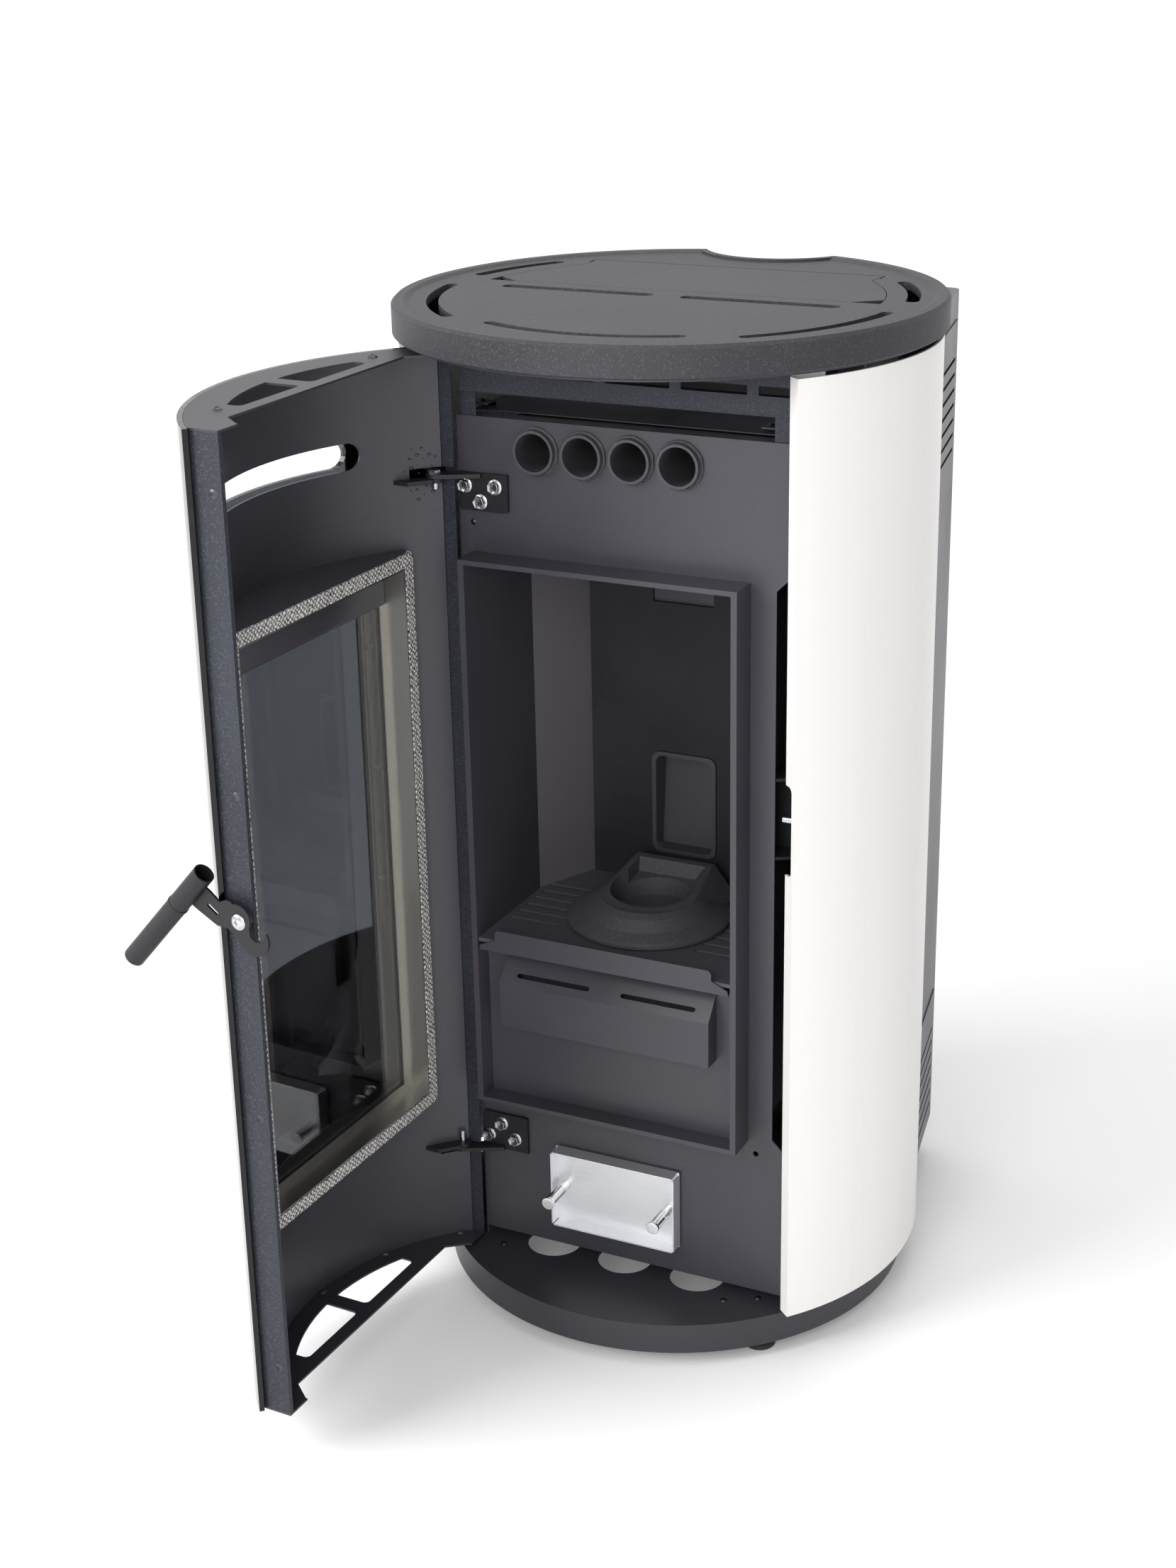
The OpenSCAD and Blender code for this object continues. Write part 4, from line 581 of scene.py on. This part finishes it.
def round_edges(piece, width, segments=2, angle=30):
    edge = piece.modifiers.new("edge", "BEVEL")
    edge.width = width
    edge.segments = segments
    edge.limit_method = "ANGLE"
    edge.angle_limit = math.radians(angle)
    apply_modifiers(piece)


def shade(piece, angle):
    only(piece)
    bpy.ops.object.shade_smooth_by_angle(angle=math.radians(angle))


def facing(place, turn, axis):
    """The place and direction of a piece that was made at the origin, facing up."""
    return Matrix.Translation(place) @ Matrix.Rotation(turn, 4, axis)


print("edit helpers ready")

# %% [markdown]
# The soft seal on the door is a flat braided rope. As a solid it is only a flat ring, so it is
# modelled again: a plane becomes a ring by an inset, gets its thickness from Solidify, round
# edges from Bevel, and the unevenness of woven fibre from a Displace modifier.

# %% woven band
def woven_band(name, half_w, z0, z1, middle_y, thickness, width, corner, rough):
    """A flat upright ring that is as thick in front of middle_y as behind it."""
    clear_selection()
    bpy.ops.mesh.primitive_plane_add(size=1, location=(0, middle_y, (z0 + z1) / 2),
                                     rotation=(quarter_turn, 0, 0))
    band = bpy.context.object
    band.name = name
    band.scale = (2 * half_w, z1 - z0, 1)
    settle(band)
    bpy.ops.object.mode_set(mode="EDIT")
    bpy.ops.mesh.select_all(action="SELECT")
    bpy.ops.mesh.bevel(offset=corner, segments=4, affect="VERTICES")
    bpy.ops.mesh.select_all(action="SELECT")
    bpy.ops.mesh.inset(thickness=width, use_even_offset=True)
    bpy.ops.mesh.delete(type="FACE")
    leave_edit()
    # The long sides, the short sides and the steps across the band are cut finely in turn.
    for cuts, low, high in ((230, 0.4, 9), (110, 0.15, 0.4), (6, width * 0.9, width * 1.6)):
        pick(band, lambda e: low < e.calc_length() < high, "EDGE")
        bpy.ops.mesh.subdivide(number_cuts=cuts)
        leave_edit()
    wall = band.modifiers.new("thickness", "SOLIDIFY")
    wall.thickness = thickness
    wall.offset = 0
    apply_modifiers(band)
    round_edges(band, thickness * 0.42, 3)
    fibres = bpy.data.textures.new(name + "_fibres", "CLOUDS")
    fibres.noise_scale = 0.0032
    uneven = band.modifiers.new("uneven", "DISPLACE")
    uneven.texture = fibres
    uneven.texture_coords = "LOCAL"
    uneven.strength = rough
    uneven.mid_level = 0.62
    apply_modifiers(band)
    shade(band, 60)
    print(name, len(band.data.polygons), "faces")
    return band


# %% [markdown]
# Two pieces come from this band: the door's rope, and the thinner flat seal behind the ash
# cover, which takes its size from its own solid.

# %% rope gasket and cover seal
gasket_y = -0.1804
rope_half_w = 0.152
rope_low, rope_high = 0.2105, 0.8102
rope = woven_band("braided_rope", rope_half_w, rope_low, rope_high, gasket_y - 0.0015,
                  thickness=0.0027, width=0.0138, corner=0.008, rough=0.0014)
swing_open(rope)
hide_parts("rope_gasket")
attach(rope, "door")

seal_low, seal_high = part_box("ash_cover_seal")
seal = woven_band("cover_seal", seal_high.x, seal_low.z, seal_high.z,
                  (seal_low.y + seal_high.y) / 2, thickness=0.0022, width=0.017,
                  corner=0.006, rough=0.0004)
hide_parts("ash_cover_seal")
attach(seal, "stove")

# %% [markdown]
# The rope is knitted from glass and steel yarn, so light and dark stitches alternate along two
# diagonals. Two wave textures cross on the band, a noise breaks them up, and the crossing drives
# both the colour and the bump.

# %% rope material
rope_yarn, yarn_tree, yarn_shader, yarn_spot = new_material("rope_yarn", 0.75)
yarn_place = yarn_tree.nodes.new("ShaderNodeMapping")
yarn_place.inputs["Rotation"].default_value = (0, 0, -swing)
link(yarn_tree, yarn_spot, yarn_place.inputs["Vector"])


def yarn_wave(lean):
    turn = yarn_tree.nodes.new("ShaderNodeMapping")
    turn.inputs["Rotation"].default_value = (0, math.radians(lean), 0)
    link(yarn_tree, yarn_place.outputs["Vector"], turn.inputs["Vector"])
    wave = yarn_tree.nodes.new("ShaderNodeTexWave")
    wave.inputs["Scale"].default_value = 78
    wave.inputs["Distortion"].default_value = 4.0
    wave.inputs["Detail"].default_value = 2.0
    wave.inputs["Detail Scale"].default_value = 2.0
    link(yarn_tree, turn.outputs["Vector"], wave.inputs["Vector"])
    return wave.outputs["Fac"]


stitch = math_node(yarn_tree, "MULTIPLY", yarn_wave(45), yarn_wave(-45))
fuzz = noise(yarn_tree, yarn_spot, 330, 3.0, 0.75)
hairy = math_node(yarn_tree, "MULTIPLY", fuzz, 1.3)
stitches = ramp(yarn_tree, math_node(yarn_tree, "ADD", stitch, hairy), 0.55, 1.15)
link(yarn_tree, mix_color(yarn_tree, stitches, (0.025, 0.023, 0.024), (0.80, 0.78, 0.76)),
     yarn_shader.inputs["Base Color"])
yarn_bump = yarn_tree.nodes.new("ShaderNodeBump")
yarn_bump.inputs["Distance"].default_value = 0.0008
yarn_bump.inputs["Strength"].default_value = 0.8
link(yarn_tree, stitches, yarn_bump.inputs["Height"])
link(yarn_tree, yarn_bump.outputs["Normal"], yarn_shader.inputs["Normal"])
rope.data.materials.clear()
rope.data.materials.append(rope_yarn)
seal.data.materials.clear()
seal.data.materials.append(fibre)
print("rope and seal dressed")

# %% [markdown]
# The hinge brackets are held by hexagon bolts with a pressed flange. Each is a flange that rises
# to the middle, with its lower half sunk in the bracket, and a six-sided head with a bevelled rim
# and a sunk face. One function makes all six, each turned a little, as real bolts end up.

# %% bolts on the brackets
def bolt_at(place, turn):
    clear_selection()
    bpy.ops.mesh.primitive_cylinder_add(vertices=48, radius=0.0076, depth=0.0016,
                                        location=(0, 0, 0))
    flange = bpy.context.object
    pick(flange, lambda f: f.normal.z > 0.9)
    bpy.ops.mesh.inset(thickness=0.0009)
    bpy.ops.transform.translate(value=(0, 0, 0.0005))
    leave_edit()
    clear_selection()
    bpy.ops.mesh.primitive_cylinder_add(vertices=6, radius=0.0064, depth=0.0056,
                                        location=(0, 0, 0.0033), rotation=(0, 0, turn))
    head = bpy.context.object
    pick(head, lambda f: f.normal.z > 0.9)
    bpy.ops.mesh.inset(thickness=0.0009)
    bpy.ops.mesh.extrude_region_move(TRANSFORM_OT_translate={"value": (0, 0, -0.0006)})
    leave_edit()
    round_edges(head, 0.0004, 2, 40)
    bolt = join_as("bolt", [flange, head])
    bolt.matrix_world = facing(place, quarter_turn, "X")
    return settle(bolt)


bracket_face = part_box("hinge_bolts")[1].y
upper, lower = 0.8795, 0.148
bolt_spots = [
    (-0.151, upper - 0.009, 0.25), (-0.1185, upper - 0.0085, 0.05),
    (-0.1346, upper - 0.0244, 0.45), (-0.1508, lower + 0.0105, 0.6),
    (-0.1357, lower + 0.0266, 0.1), (-0.12, lower + 0.0108, 0.35),
]
bolts = []
for x, z, turn in bolt_spots:
    bolts.append(bolt_at((x, bracket_face, z), turn))
flange_bolts = join_as("flange_bolts", bolts)
shade(flange_bolts, 30)
flange_bolts.data.materials.append(zinc)
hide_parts("hinge_bolts")
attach(flange_bolts, "stove")
print("bolts:", len(flange_bolts.data.polygons), "faces")

# %% [markdown]
# Each knob of the ash cover is one long screw: a flat round head with a faint centre mark, and a
# stem rolled with a coarse diamond knurl. On a fine cylinder, every other point of each ring is
# pushed out along its normal, in turn from ring to ring, which leaves rows of small pyramids.

# %% knobs
knurl_points = 22
knurl_rings = 32
plain_rings = 8


def knurled_knob(side):
    node_name = "ash_knob_" + side
    low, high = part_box(node_name)
    x = (low.x + high.x) / 2
    z = (low.z + high.z) / 2
    stem_start = low.y + 0.004
    stem_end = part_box("ash_cover")[1].y - 0.0018
    length = stem_end - stem_start
    clear_selection()
    bpy.ops.mesh.primitive_cylinder_add(vertices=knurl_points, radius=0.0047, depth=length,
                                        location=(0, 0, 0))
    stem = bpy.context.object
    stem.name = "knob_stem"
    pick(stem, lambda e: abs(e.verts[0].co.z - e.verts[1].co.z) > length * 0.9, "EDGE")
    bpy.ops.mesh.subdivide(number_cuts=knurl_rings)
    leave_edit()
    step = length / (knurl_rings + 1)

    def raised(v):
        row = round((v.co.z + length / 2) / step)
        col = round(math.atan2(v.co.y, v.co.x) / (2 * math.pi / knurl_points))
        return 0 < row < knurl_rings - plain_rings and (row + col) % 2 == 0

    pick(stem, raised, "VERT")
    bpy.ops.transform.shrink_fatten(value=0.00095)
    leave_edit()
    clear_selection()
    bpy.ops.mesh.primitive_cylinder_add(vertices=48, radius=0.0069, depth=0.0036,
                                        location=(0, 0, -length / 2 - 0.0018))
    head = bpy.context.object
    pick(head, lambda f: f.normal.z < -0.9)
    bpy.ops.mesh.inset(thickness=0.0052)
    bpy.ops.transform.translate(value=(0, 0, 0.0002))
    leave_edit()
    round_edges(head, 0.0006, 3, 60)
    clear_selection()
    bpy.ops.mesh.primitive_cylinder_add(vertices=32, radius=0.0038, depth=0.0040,
                                        location=(0, 0, length / 2 + 0.0015))
    shank = bpy.context.object
    knob = join_as("knurled_knob_" + side, [stem, head, shank])
    middle = (stem_start + stem_end) / 2
    knob.matrix_world = facing((x, middle, z), -quarter_turn, "X")
    settle(knob)
    shade(knob, 25)
    knob.data.materials.append(knob_steel)
    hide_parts(node_name)
    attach(knob, node_name)
    return knob


knob_steel = steel("polished_knob", (0.78, 0.78, 0.79), 0.10, 0.2, (400, 400, 400), 0.05)
for side in ("left", "right"):
    knob = knurled_knob(side)
    print(knob.name, len(knob.data.polygons), "faces")

# %% [markdown]
# Small dark screws close the door's edge strips, and a large bright one carries the latch. They
# share one form: a domed head with a star-shaped socket. A sphere is cut by bisect, flattened,
# and its middle is inset and sunk; the star comes from drawing in what lies between its tips.

# %% socket head
def cut_flat(piece, z, above):
    """Cuts a piece level at z and keeps what lies above or below the cut."""
    only(piece)
    bpy.ops.object.mode_set(mode="EDIT")
    bpy.ops.mesh.select_all(action="SELECT")
    bpy.ops.mesh.bisect(plane_co=(0, 0, z), plane_no=(0, 0, 1), use_fill=True,
                        clear_inner=above, clear_outer=not above)
    leave_edit()


def socket_head(name, radius, height, socket, finish):
    clear_selection()
    bpy.ops.mesh.primitive_uv_sphere_add(segments=48, ring_count=24, radius=radius * 1.25)
    dome = bpy.context.object
    dome.name = name
    foot = radius * 0.75
    cut_flat(dome, foot, True)
    cut_flat(dome, radius * 1.18, False)
    dome.location.z = -foot
    settle(dome)
    top = max(v.co.z for v in dome.data.vertices)
    dome.scale.z = height / top
    settle(dome)
    pick(dome, lambda f: f.normal.z > 0.99 and f.calc_center_median().z > height * 0.9)
    crown = [v for v in dome.data.vertices if v.co.z > height * 0.95]
    current = max(math.hypot(v.co.x, v.co.y) for v in crown)
    bpy.ops.mesh.inset(thickness=max(current - socket, 0.0001))
    leave_edit()
    crown = [v for v in dome.data.vertices if v.co.z > height * 0.95]
    corners = [v for v in crown if abs(math.hypot(v.co.x, v.co.y) - socket) < socket * 0.08]
    waist = {v.index for v in corners if math.cos(6 * math.atan2(v.co.y, v.co.x)) < -0.3}
    pick(dome, lambda v: v.index in waist, "VERT")
    bpy.ops.transform.resize(value=(0.76, 0.76, 1), center_override=(0, 0, height))
    leave_edit()
    pick(dome, lambda f: f.normal.z > 0.99 and len(f.verts) > 12
         and f.calc_center_median().z > height * 0.9)
    bpy.ops.mesh.extrude_region_move(TRANSFORM_OT_translate={"value": (0, 0, -height * 0.7)})
    leave_edit()
    dome.data.materials.append(finish)
    shade(dome, 30)
    return dome


print("socket head ready")

# %% [markdown]
# On the door, four screws stand along the latch side's edge strip, two on each cap, and the
# latch has its spacer, its pin and a larger bright head. Each is placed on the closed door and
# then swung open with it.

# %% screws of the door
strip_face = 0.186
latch_y, latch_z = -0.1595, 0.5615
cap_screw_y = -0.198
screws = []
screw_coat = steel("dark_screw", (0.085, 0.085, 0.092), 0.25, 0.4, (400, 400, 400), 0.05)
for z in (0.9479, 0.6771, 0.3592, 0.090):
    screw = socket_head("strip_screw", 0.0042, 0.0007, 0.0024, screw_coat)
    screw.matrix_world = facing((strip_face, latch_y, z), quarter_turn, "Y")
    screws.append(swing_open(screw))
for x in (-0.125, 0.120):
    for z, turn in ((1.0025, 0), (0.0375, 180)):
        screw = socket_head("cap_screw", 0.0050, 0.0024, 0.0026, screw_coat)
        screw.matrix_world = facing((x, cap_screw_y, z), math.radians(turn), "X")
        screws.append(swing_open(screw))

for name, radius, end in (("pivot_spacer", 0.009, 0.1935), ("pivot_pin", 0.0040, 0.1972)):
    middle = ((strip_face + end) / 2, latch_y, latch_z)
    clear_selection()
    bpy.ops.mesh.primitive_cylinder_add(vertices=48, radius=radius, depth=end - strip_face,
                                        location=middle, rotation=(0, quarter_turn, 0))
    part = settle(bpy.context.object)
    part.name = name
    round_edges(part, 0.0005)
    part.data.materials.append(zinc)
    shade(part, 30)
    screws.append(swing_open(part))
pivot_head = socket_head("pivot_head", 0.0075, 0.0017, 0.0034, zinc)
pivot_head.matrix_world = facing((0.1966, latch_y, latch_z), quarter_turn, "Y")
screws.append(swing_open(pivot_head))
door_fasteners = join_as("door_fasteners", screws)
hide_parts("door_screws")
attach(door_fasteners, "door")
print("door fasteners:", len(door_fasteners.data.polygons), "faces")

# %% [markdown]
# Seen through the window, a narrow strip with three screws clamps the outer pane beside its
# see-through field, and a bent sheet along the top of the frame guides air down the inner pane.
# Both are cubes at their size; the guide gets its bent lower edge by extruding the lowest face.

# %% strip and air guide
def slab(name, x, y, z, finish, turn=0.0):
    """A thin sheet between two corners, turned about the upright axis through its middle."""
    clear_selection()
    middle = Vector(((x[0] + x[1]) / 2, (y[0] + y[1]) / 2, (z[0] + z[1]) / 2))
    bpy.ops.mesh.primitive_cube_add(size=1, location=middle, rotation=(0, 0, turn))
    sheet = bpy.context.object
    sheet.name = name
    sheet.scale = (x[1] - x[0], y[1] - y[0], z[1] - z[0])
    settle(sheet)
    sheet.data.materials.append(finish)
    return sheet


def soft_edges(sheet):
    round_edges(sheet, 0.0002)
    shade(sheet, 30)


strip_angle = math.radians(-29.7)
strip_r = 0.2575
strip_mid = Vector((strip_r * math.sin(strip_angle), -strip_r * math.cos(strip_angle), 0))
clamp_strip = slab("clamp_strip", (strip_mid.x - 0.0031, strip_mid.x + 0.0031),
                   (strip_mid.y - 0.0005, strip_mid.y + 0.0005), (grate_z, 0.752), tube_steel,
                   strip_angle)
soft_edges(clamp_strip)
clamp_parts = [swing_open(clamp_strip)]
for z in (0.7143, 0.588, 0.4675):
    screw = socket_head("clamp_screw", 0.0042, 0.0022, 0.0017, screw_coat)
    turned_in = facing((strip_mid.x, strip_mid.y + 0.0006, z), strip_angle, "Z")
    screw.matrix_world = turned_in @ Matrix.Rotation(-quarter_turn, 4, "X")
    clamp_parts.append(swing_open(screw))
join_as("clamp_strip", clamp_parts)
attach(clamp_strip, "door")

air_guide = slab("air_guide", (-0.1358, 0.1358), (-0.2063, -0.2052), (0.7612, 0.7942),
                 grey_sheet)
pick(air_guide, lambda f: f.normal.z < -0.9)
bpy.ops.mesh.extrude_region_move(TRANSFORM_OT_translate={"value": (0, -0.0012, -0.0042)})
leave_edit()
soft_edges(air_guide)
swing_open(air_guide)
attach(air_guide, "door")
print("strip and guide:", len(clamp_strip.data.polygons), len(air_guide.data.polygons), "faces")

# %% [markdown]
# Behind the front plate a dark sheet closes the casing below the vent strip, with a bracket and a
# screw near each end.

# %% shelf below the vent strip
bracket_low, bracket_top = 0.9440, 0.9455
bracket_front = -0.1228
shelf = slab("air_shelf", (-0.154, 0.182), (-0.1232, 0.0365), (0.9388, 0.9398), dark_sheet)
pick(shelf, lambda f: f.normal.y > 0.9)
bpy.ops.mesh.extrude_region_move(TRANSFORM_OT_translate={"value": (0, 0.0004, 0.012)})
leave_edit()
soft_edges(shelf)
shelf_parts = [shelf]
for x in (-0.1478, 0.155):
    bracket = slab("shelf_bracket", (x - 0.009, x + 0.009), (bracket_front, -0.106),
                   (bracket_low, bracket_top), grey_sheet)
    pick(bracket, lambda f: f.normal.y > 0.9)
    bpy.ops.mesh.extrude_region_move(TRANSFORM_OT_translate={"value": (0, 0.0015, 0)})
    bpy.ops.mesh.extrude_region_move(TRANSFORM_OT_translate={"value": (0, 0, -0.0044)})
    leave_edit()
    soft_edges(bracket)
    screw = socket_head("shelf_screw", 0.0042, 0.0026, 0.0018, screw_coat)
    screw.matrix_world = Matrix.Translation((x, -0.115, bracket_top))
    shelf_parts += [bracket, settle(screw)]
join_as("air_shelf", shelf_parts)
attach(shelf, "stove")
print("shelf:", len(shelf.data.polygons), "faces")

# %% [markdown]
# Welding leaves uneven beads. A ring of weld runs round each air tube, and a few drops and a
# spatter of grains stay where the lower door cap and the upper hinge lug were welded. A torus and
# an icosphere are the starts; a Displace modifier with a cloud texture makes them uneven.

# %% welds
weld_clouds = bpy.data.textures.new("weld_clouds", "CLOUDS")
weld_clouds.noise_scale = 0.004
weld_finish = painted("burnt_weld", (0.030, 0.028, 0.032), (0.060, 0.057, 0.062),
                      (0.12, 0.115, 0.12), 0.38, 0.5, scale=900.0, drift=90.0)


def roughen(piece, strength):
    lumps = piece.modifiers.new("lumps", "DISPLACE")
    lumps.texture = weld_clouds
    lumps.texture_coords = "GLOBAL"
    lumps.strength = strength
    lumps.mid_level = 0.5
    apply_modifiers(piece)
    piece.data.materials.append(weld_finish)
    shade(piece, 60)
    return piece


plate_face = -0.146
tube_z = 0.909
rings = []
for x in (-0.0749, -0.0249, 0.0251, 0.0751):
    clear_selection()
    bpy.ops.mesh.primitive_torus_add(location=(x, plate_face - 0.0012, tube_z),
                                     rotation=(quarter_turn, 0, 0), major_segments=110,
                                     minor_segments=12, major_radius=0.0226, minor_radius=0.0013)
    rings.append(roughen(bpy.context.object, 0.0018))
tube_welds = join_as("tube_welds", rings)
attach(tube_welds, "stove")


def weld_drop(place, radius, flat=0.45, axis=2):
    clear_selection()
    bpy.ops.mesh.primitive_ico_sphere_add(subdivisions=3, radius=radius, location=place)
    drop = bpy.context.object
    drop.scale[axis] = flat
    settle(drop)
    return roughen(drop, radius * 0.5)


cap_top = 0.0402
drops = []
for x, y in ((-0.098, -0.2225), (-0.0061, -0.2405), (-0.171, -0.172)):
    drops.append(swing_open(weld_drop((x, y, cap_top), 0.0042)))
spatter_middle = math.radians(-43.6)
spatter_z = 0.884
golden_turn = 2.4
wide, tall = 1.6, 2.4
skin_r = 0.2448
for i in range(26):
    away = 0.0115 * math.sqrt(i + 0.5) / 5
    angle = spatter_middle + away * math.cos(i * golden_turn) / 0.245 * wide
    z = spatter_z + away * math.sin(i * golden_turn) * tall
    place = (skin_r * math.sin(angle), -skin_r * math.cos(angle), z)
    drops.append(swing_open(weld_drop(place, 0.0009 + 0.0005 * (i % 3), 0.8)))
door_welds = join_as("door_welds", drops)
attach(door_welds, "door")
print("welds:", len(tube_welds.data.polygons), len(door_welds.data.polygons), "faces")

# %% [markdown]
# Last fasteners: dark screws hold the base tray and the front plate. They are the same socket
# head as on the door, turned to face up or forwards.

# %% screws of the casing
tray_top = 0.033
casing_screws = []
for x, y in ((-0.1327, -0.1603), (0.127, -0.1644), (0.1579, -0.146)):
    screw = socket_head("tray_screw", 0.0036, 0.0016, 0.0016, screw_coat)
    screw.matrix_world = Matrix.Translation((x, y, tray_top))
    casing_screws.append(settle(screw))
screw = socket_head("plate_screw", 0.0032, 0.0015, 0.0015, screw_coat)
screw.matrix_world = facing((-0.1452, plate_face, 0.8333), quarter_turn, "X")
casing_screws.append(settle(screw))
casing_fasteners = join_as("casing_fasteners", casing_screws)
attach(casing_fasteners, "stove")
print("casing fasteners:", len(casing_fasteners.data.polygons), "faces")

# %% [markdown]
# The two ends of the rope meet at the upper corner in a lump, and a crumpled metal clip holds
# its free end at the lower one.

# %% rope ends
def flat_lump(name, place, radius, flat, finish):
    lump = weld_drop(place, radius, flat, 1)
    lump.name = name
    lump.data.materials.clear()
    lump.data.materials.append(finish)
    swing_open(lump)
    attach(lump, "door")
    print(name, len(lump.data.polygons), "faces")


flat_lump("rope_end", (-0.1462, gasket_y - 0.0030, 0.8045), 0.0068, 0.30, rope_yarn)
flat_lump("rope_clip", (-0.1490, gasket_y - 0.0022, 0.2128), 0.0042, 0.40, bright_steel)

# %% [markdown]
# The studio has a soft sky. Where the camera, a glossy surface or a pane sees past the stove it
# sees plain white, at strength 1.

# %% world
def seen_directly(tree):
    """A value of 1 for rays from the camera, a reflection or a pane, and 0 for the rest."""
    path = tree.nodes.new("ShaderNodeLightPath")
    through = math_node(tree, "MAXIMUM", path.outputs["Is Camera Ray"],
                        path.outputs["Is Transmission Ray"])
    return math_node(tree, "MAXIMUM", through, path.outputs["Is Glossy Ray"])


world = bpy.data.worlds.new("studio")
bpy.context.scene.world = world
world.use_nodes = True
sky = world.node_tree
sky.nodes.clear()
sky_out = sky.nodes.new("ShaderNodeOutputWorld")
ambient = sky.nodes.new("ShaderNodeBackground")
ambient.inputs["Color"].default_value = (0.97, 0.968, 0.975, 1)
ambient.inputs["Strength"].default_value = 0.50
paper = sky.nodes.new("ShaderNodeBackground")
paper.inputs["Color"].default_value = (1, 1, 1, 1)
paper.inputs["Strength"].default_value = 1.0
either = sky.nodes.new("ShaderNodeMixShader")
link(sky, seen_directly(sky), either.inputs["Fac"])
link(sky, ambient.outputs["Background"], either.inputs[1])
link(sky, paper.outputs["Background"], either.inputs[2])
link(sky, either.outputs["Shader"], sky_out.inputs["Surface"])
print("world:", world.name)

# %% [markdown]
# A pale floor runs far back. It keeps the stove's shadow, and glows a little where it is seen, a
# little more with the distance, so that it melts into the white behind it.

# %% floor
clear_selection()
floor_z = -0.0152
bpy.ops.mesh.primitive_plane_add(size=60, location=(0, 0, floor_z))
floor = settle(bpy.context.object)
floor.name = "studio_floor"
floor_paint, floor_tree, floor_shader, floor_spot = new_material("studio_paper", 0.7)
floor_shader.inputs["Base Color"].default_value = (0.93, 0.93, 0.93, 1)
floor_shader.inputs["Emission Color"].default_value = (1, 1, 1, 1)
distance = floor_tree.nodes.new("ShaderNodeVectorMath")
distance.operation = "LENGTH"
link(floor_tree, floor_spot, distance.inputs[0])
far = ramp(floor_tree, distance.outputs["Value"], 1.2, 5.0)
glow = math_node(floor_tree, "ADD", math_node(floor_tree, "MULTIPLY", far, 0.5), 0.12)
link(floor_tree, math_node(floor_tree, "MULTIPLY", seen_directly(floor_tree), glow),
     floor_shader.inputs["Emission Strength"])
floor.data.materials.append(floor_paint)
print("floor at z", floor_z)

# %% [markdown]
# Three large soft lamps: the strongest from the front left, a weaker one from behind the camera,
# and one overhead. The Standard view shows full white as white.

# %% lamps
def soft_lamp(name, place, aim, size, power):
    data = bpy.data.lights.new(name, "AREA")
    data.shape = "RECTANGLE"
    data.size, data.size_y = size
    data.energy = power
    lamp = bpy.data.objects.new(name, data)
    bpy.context.collection.objects.link(lamp)
    lamp.location = place
    direction = Vector(aim) - Vector(place)
    lamp.rotation_euler = direction.to_track_quat("-Z", "Y").to_euler()


soft_lamp("left_softbox", (-2.4, -2.6, 2.4), (0, -0.1, 0.5), (2.4, 2.4), 145)
soft_lamp("front_softbox", (0.7, -3.5, 1.9), (0, 0, 0.5), (1.8, 2.2), 60)
soft_lamp("top_softbox", (-0.4, 0.6, 3.6), (0, 0, 0.5), (3.0, 3.0), 45)
bpy.context.scene.view_settings.view_transform = "Standard"
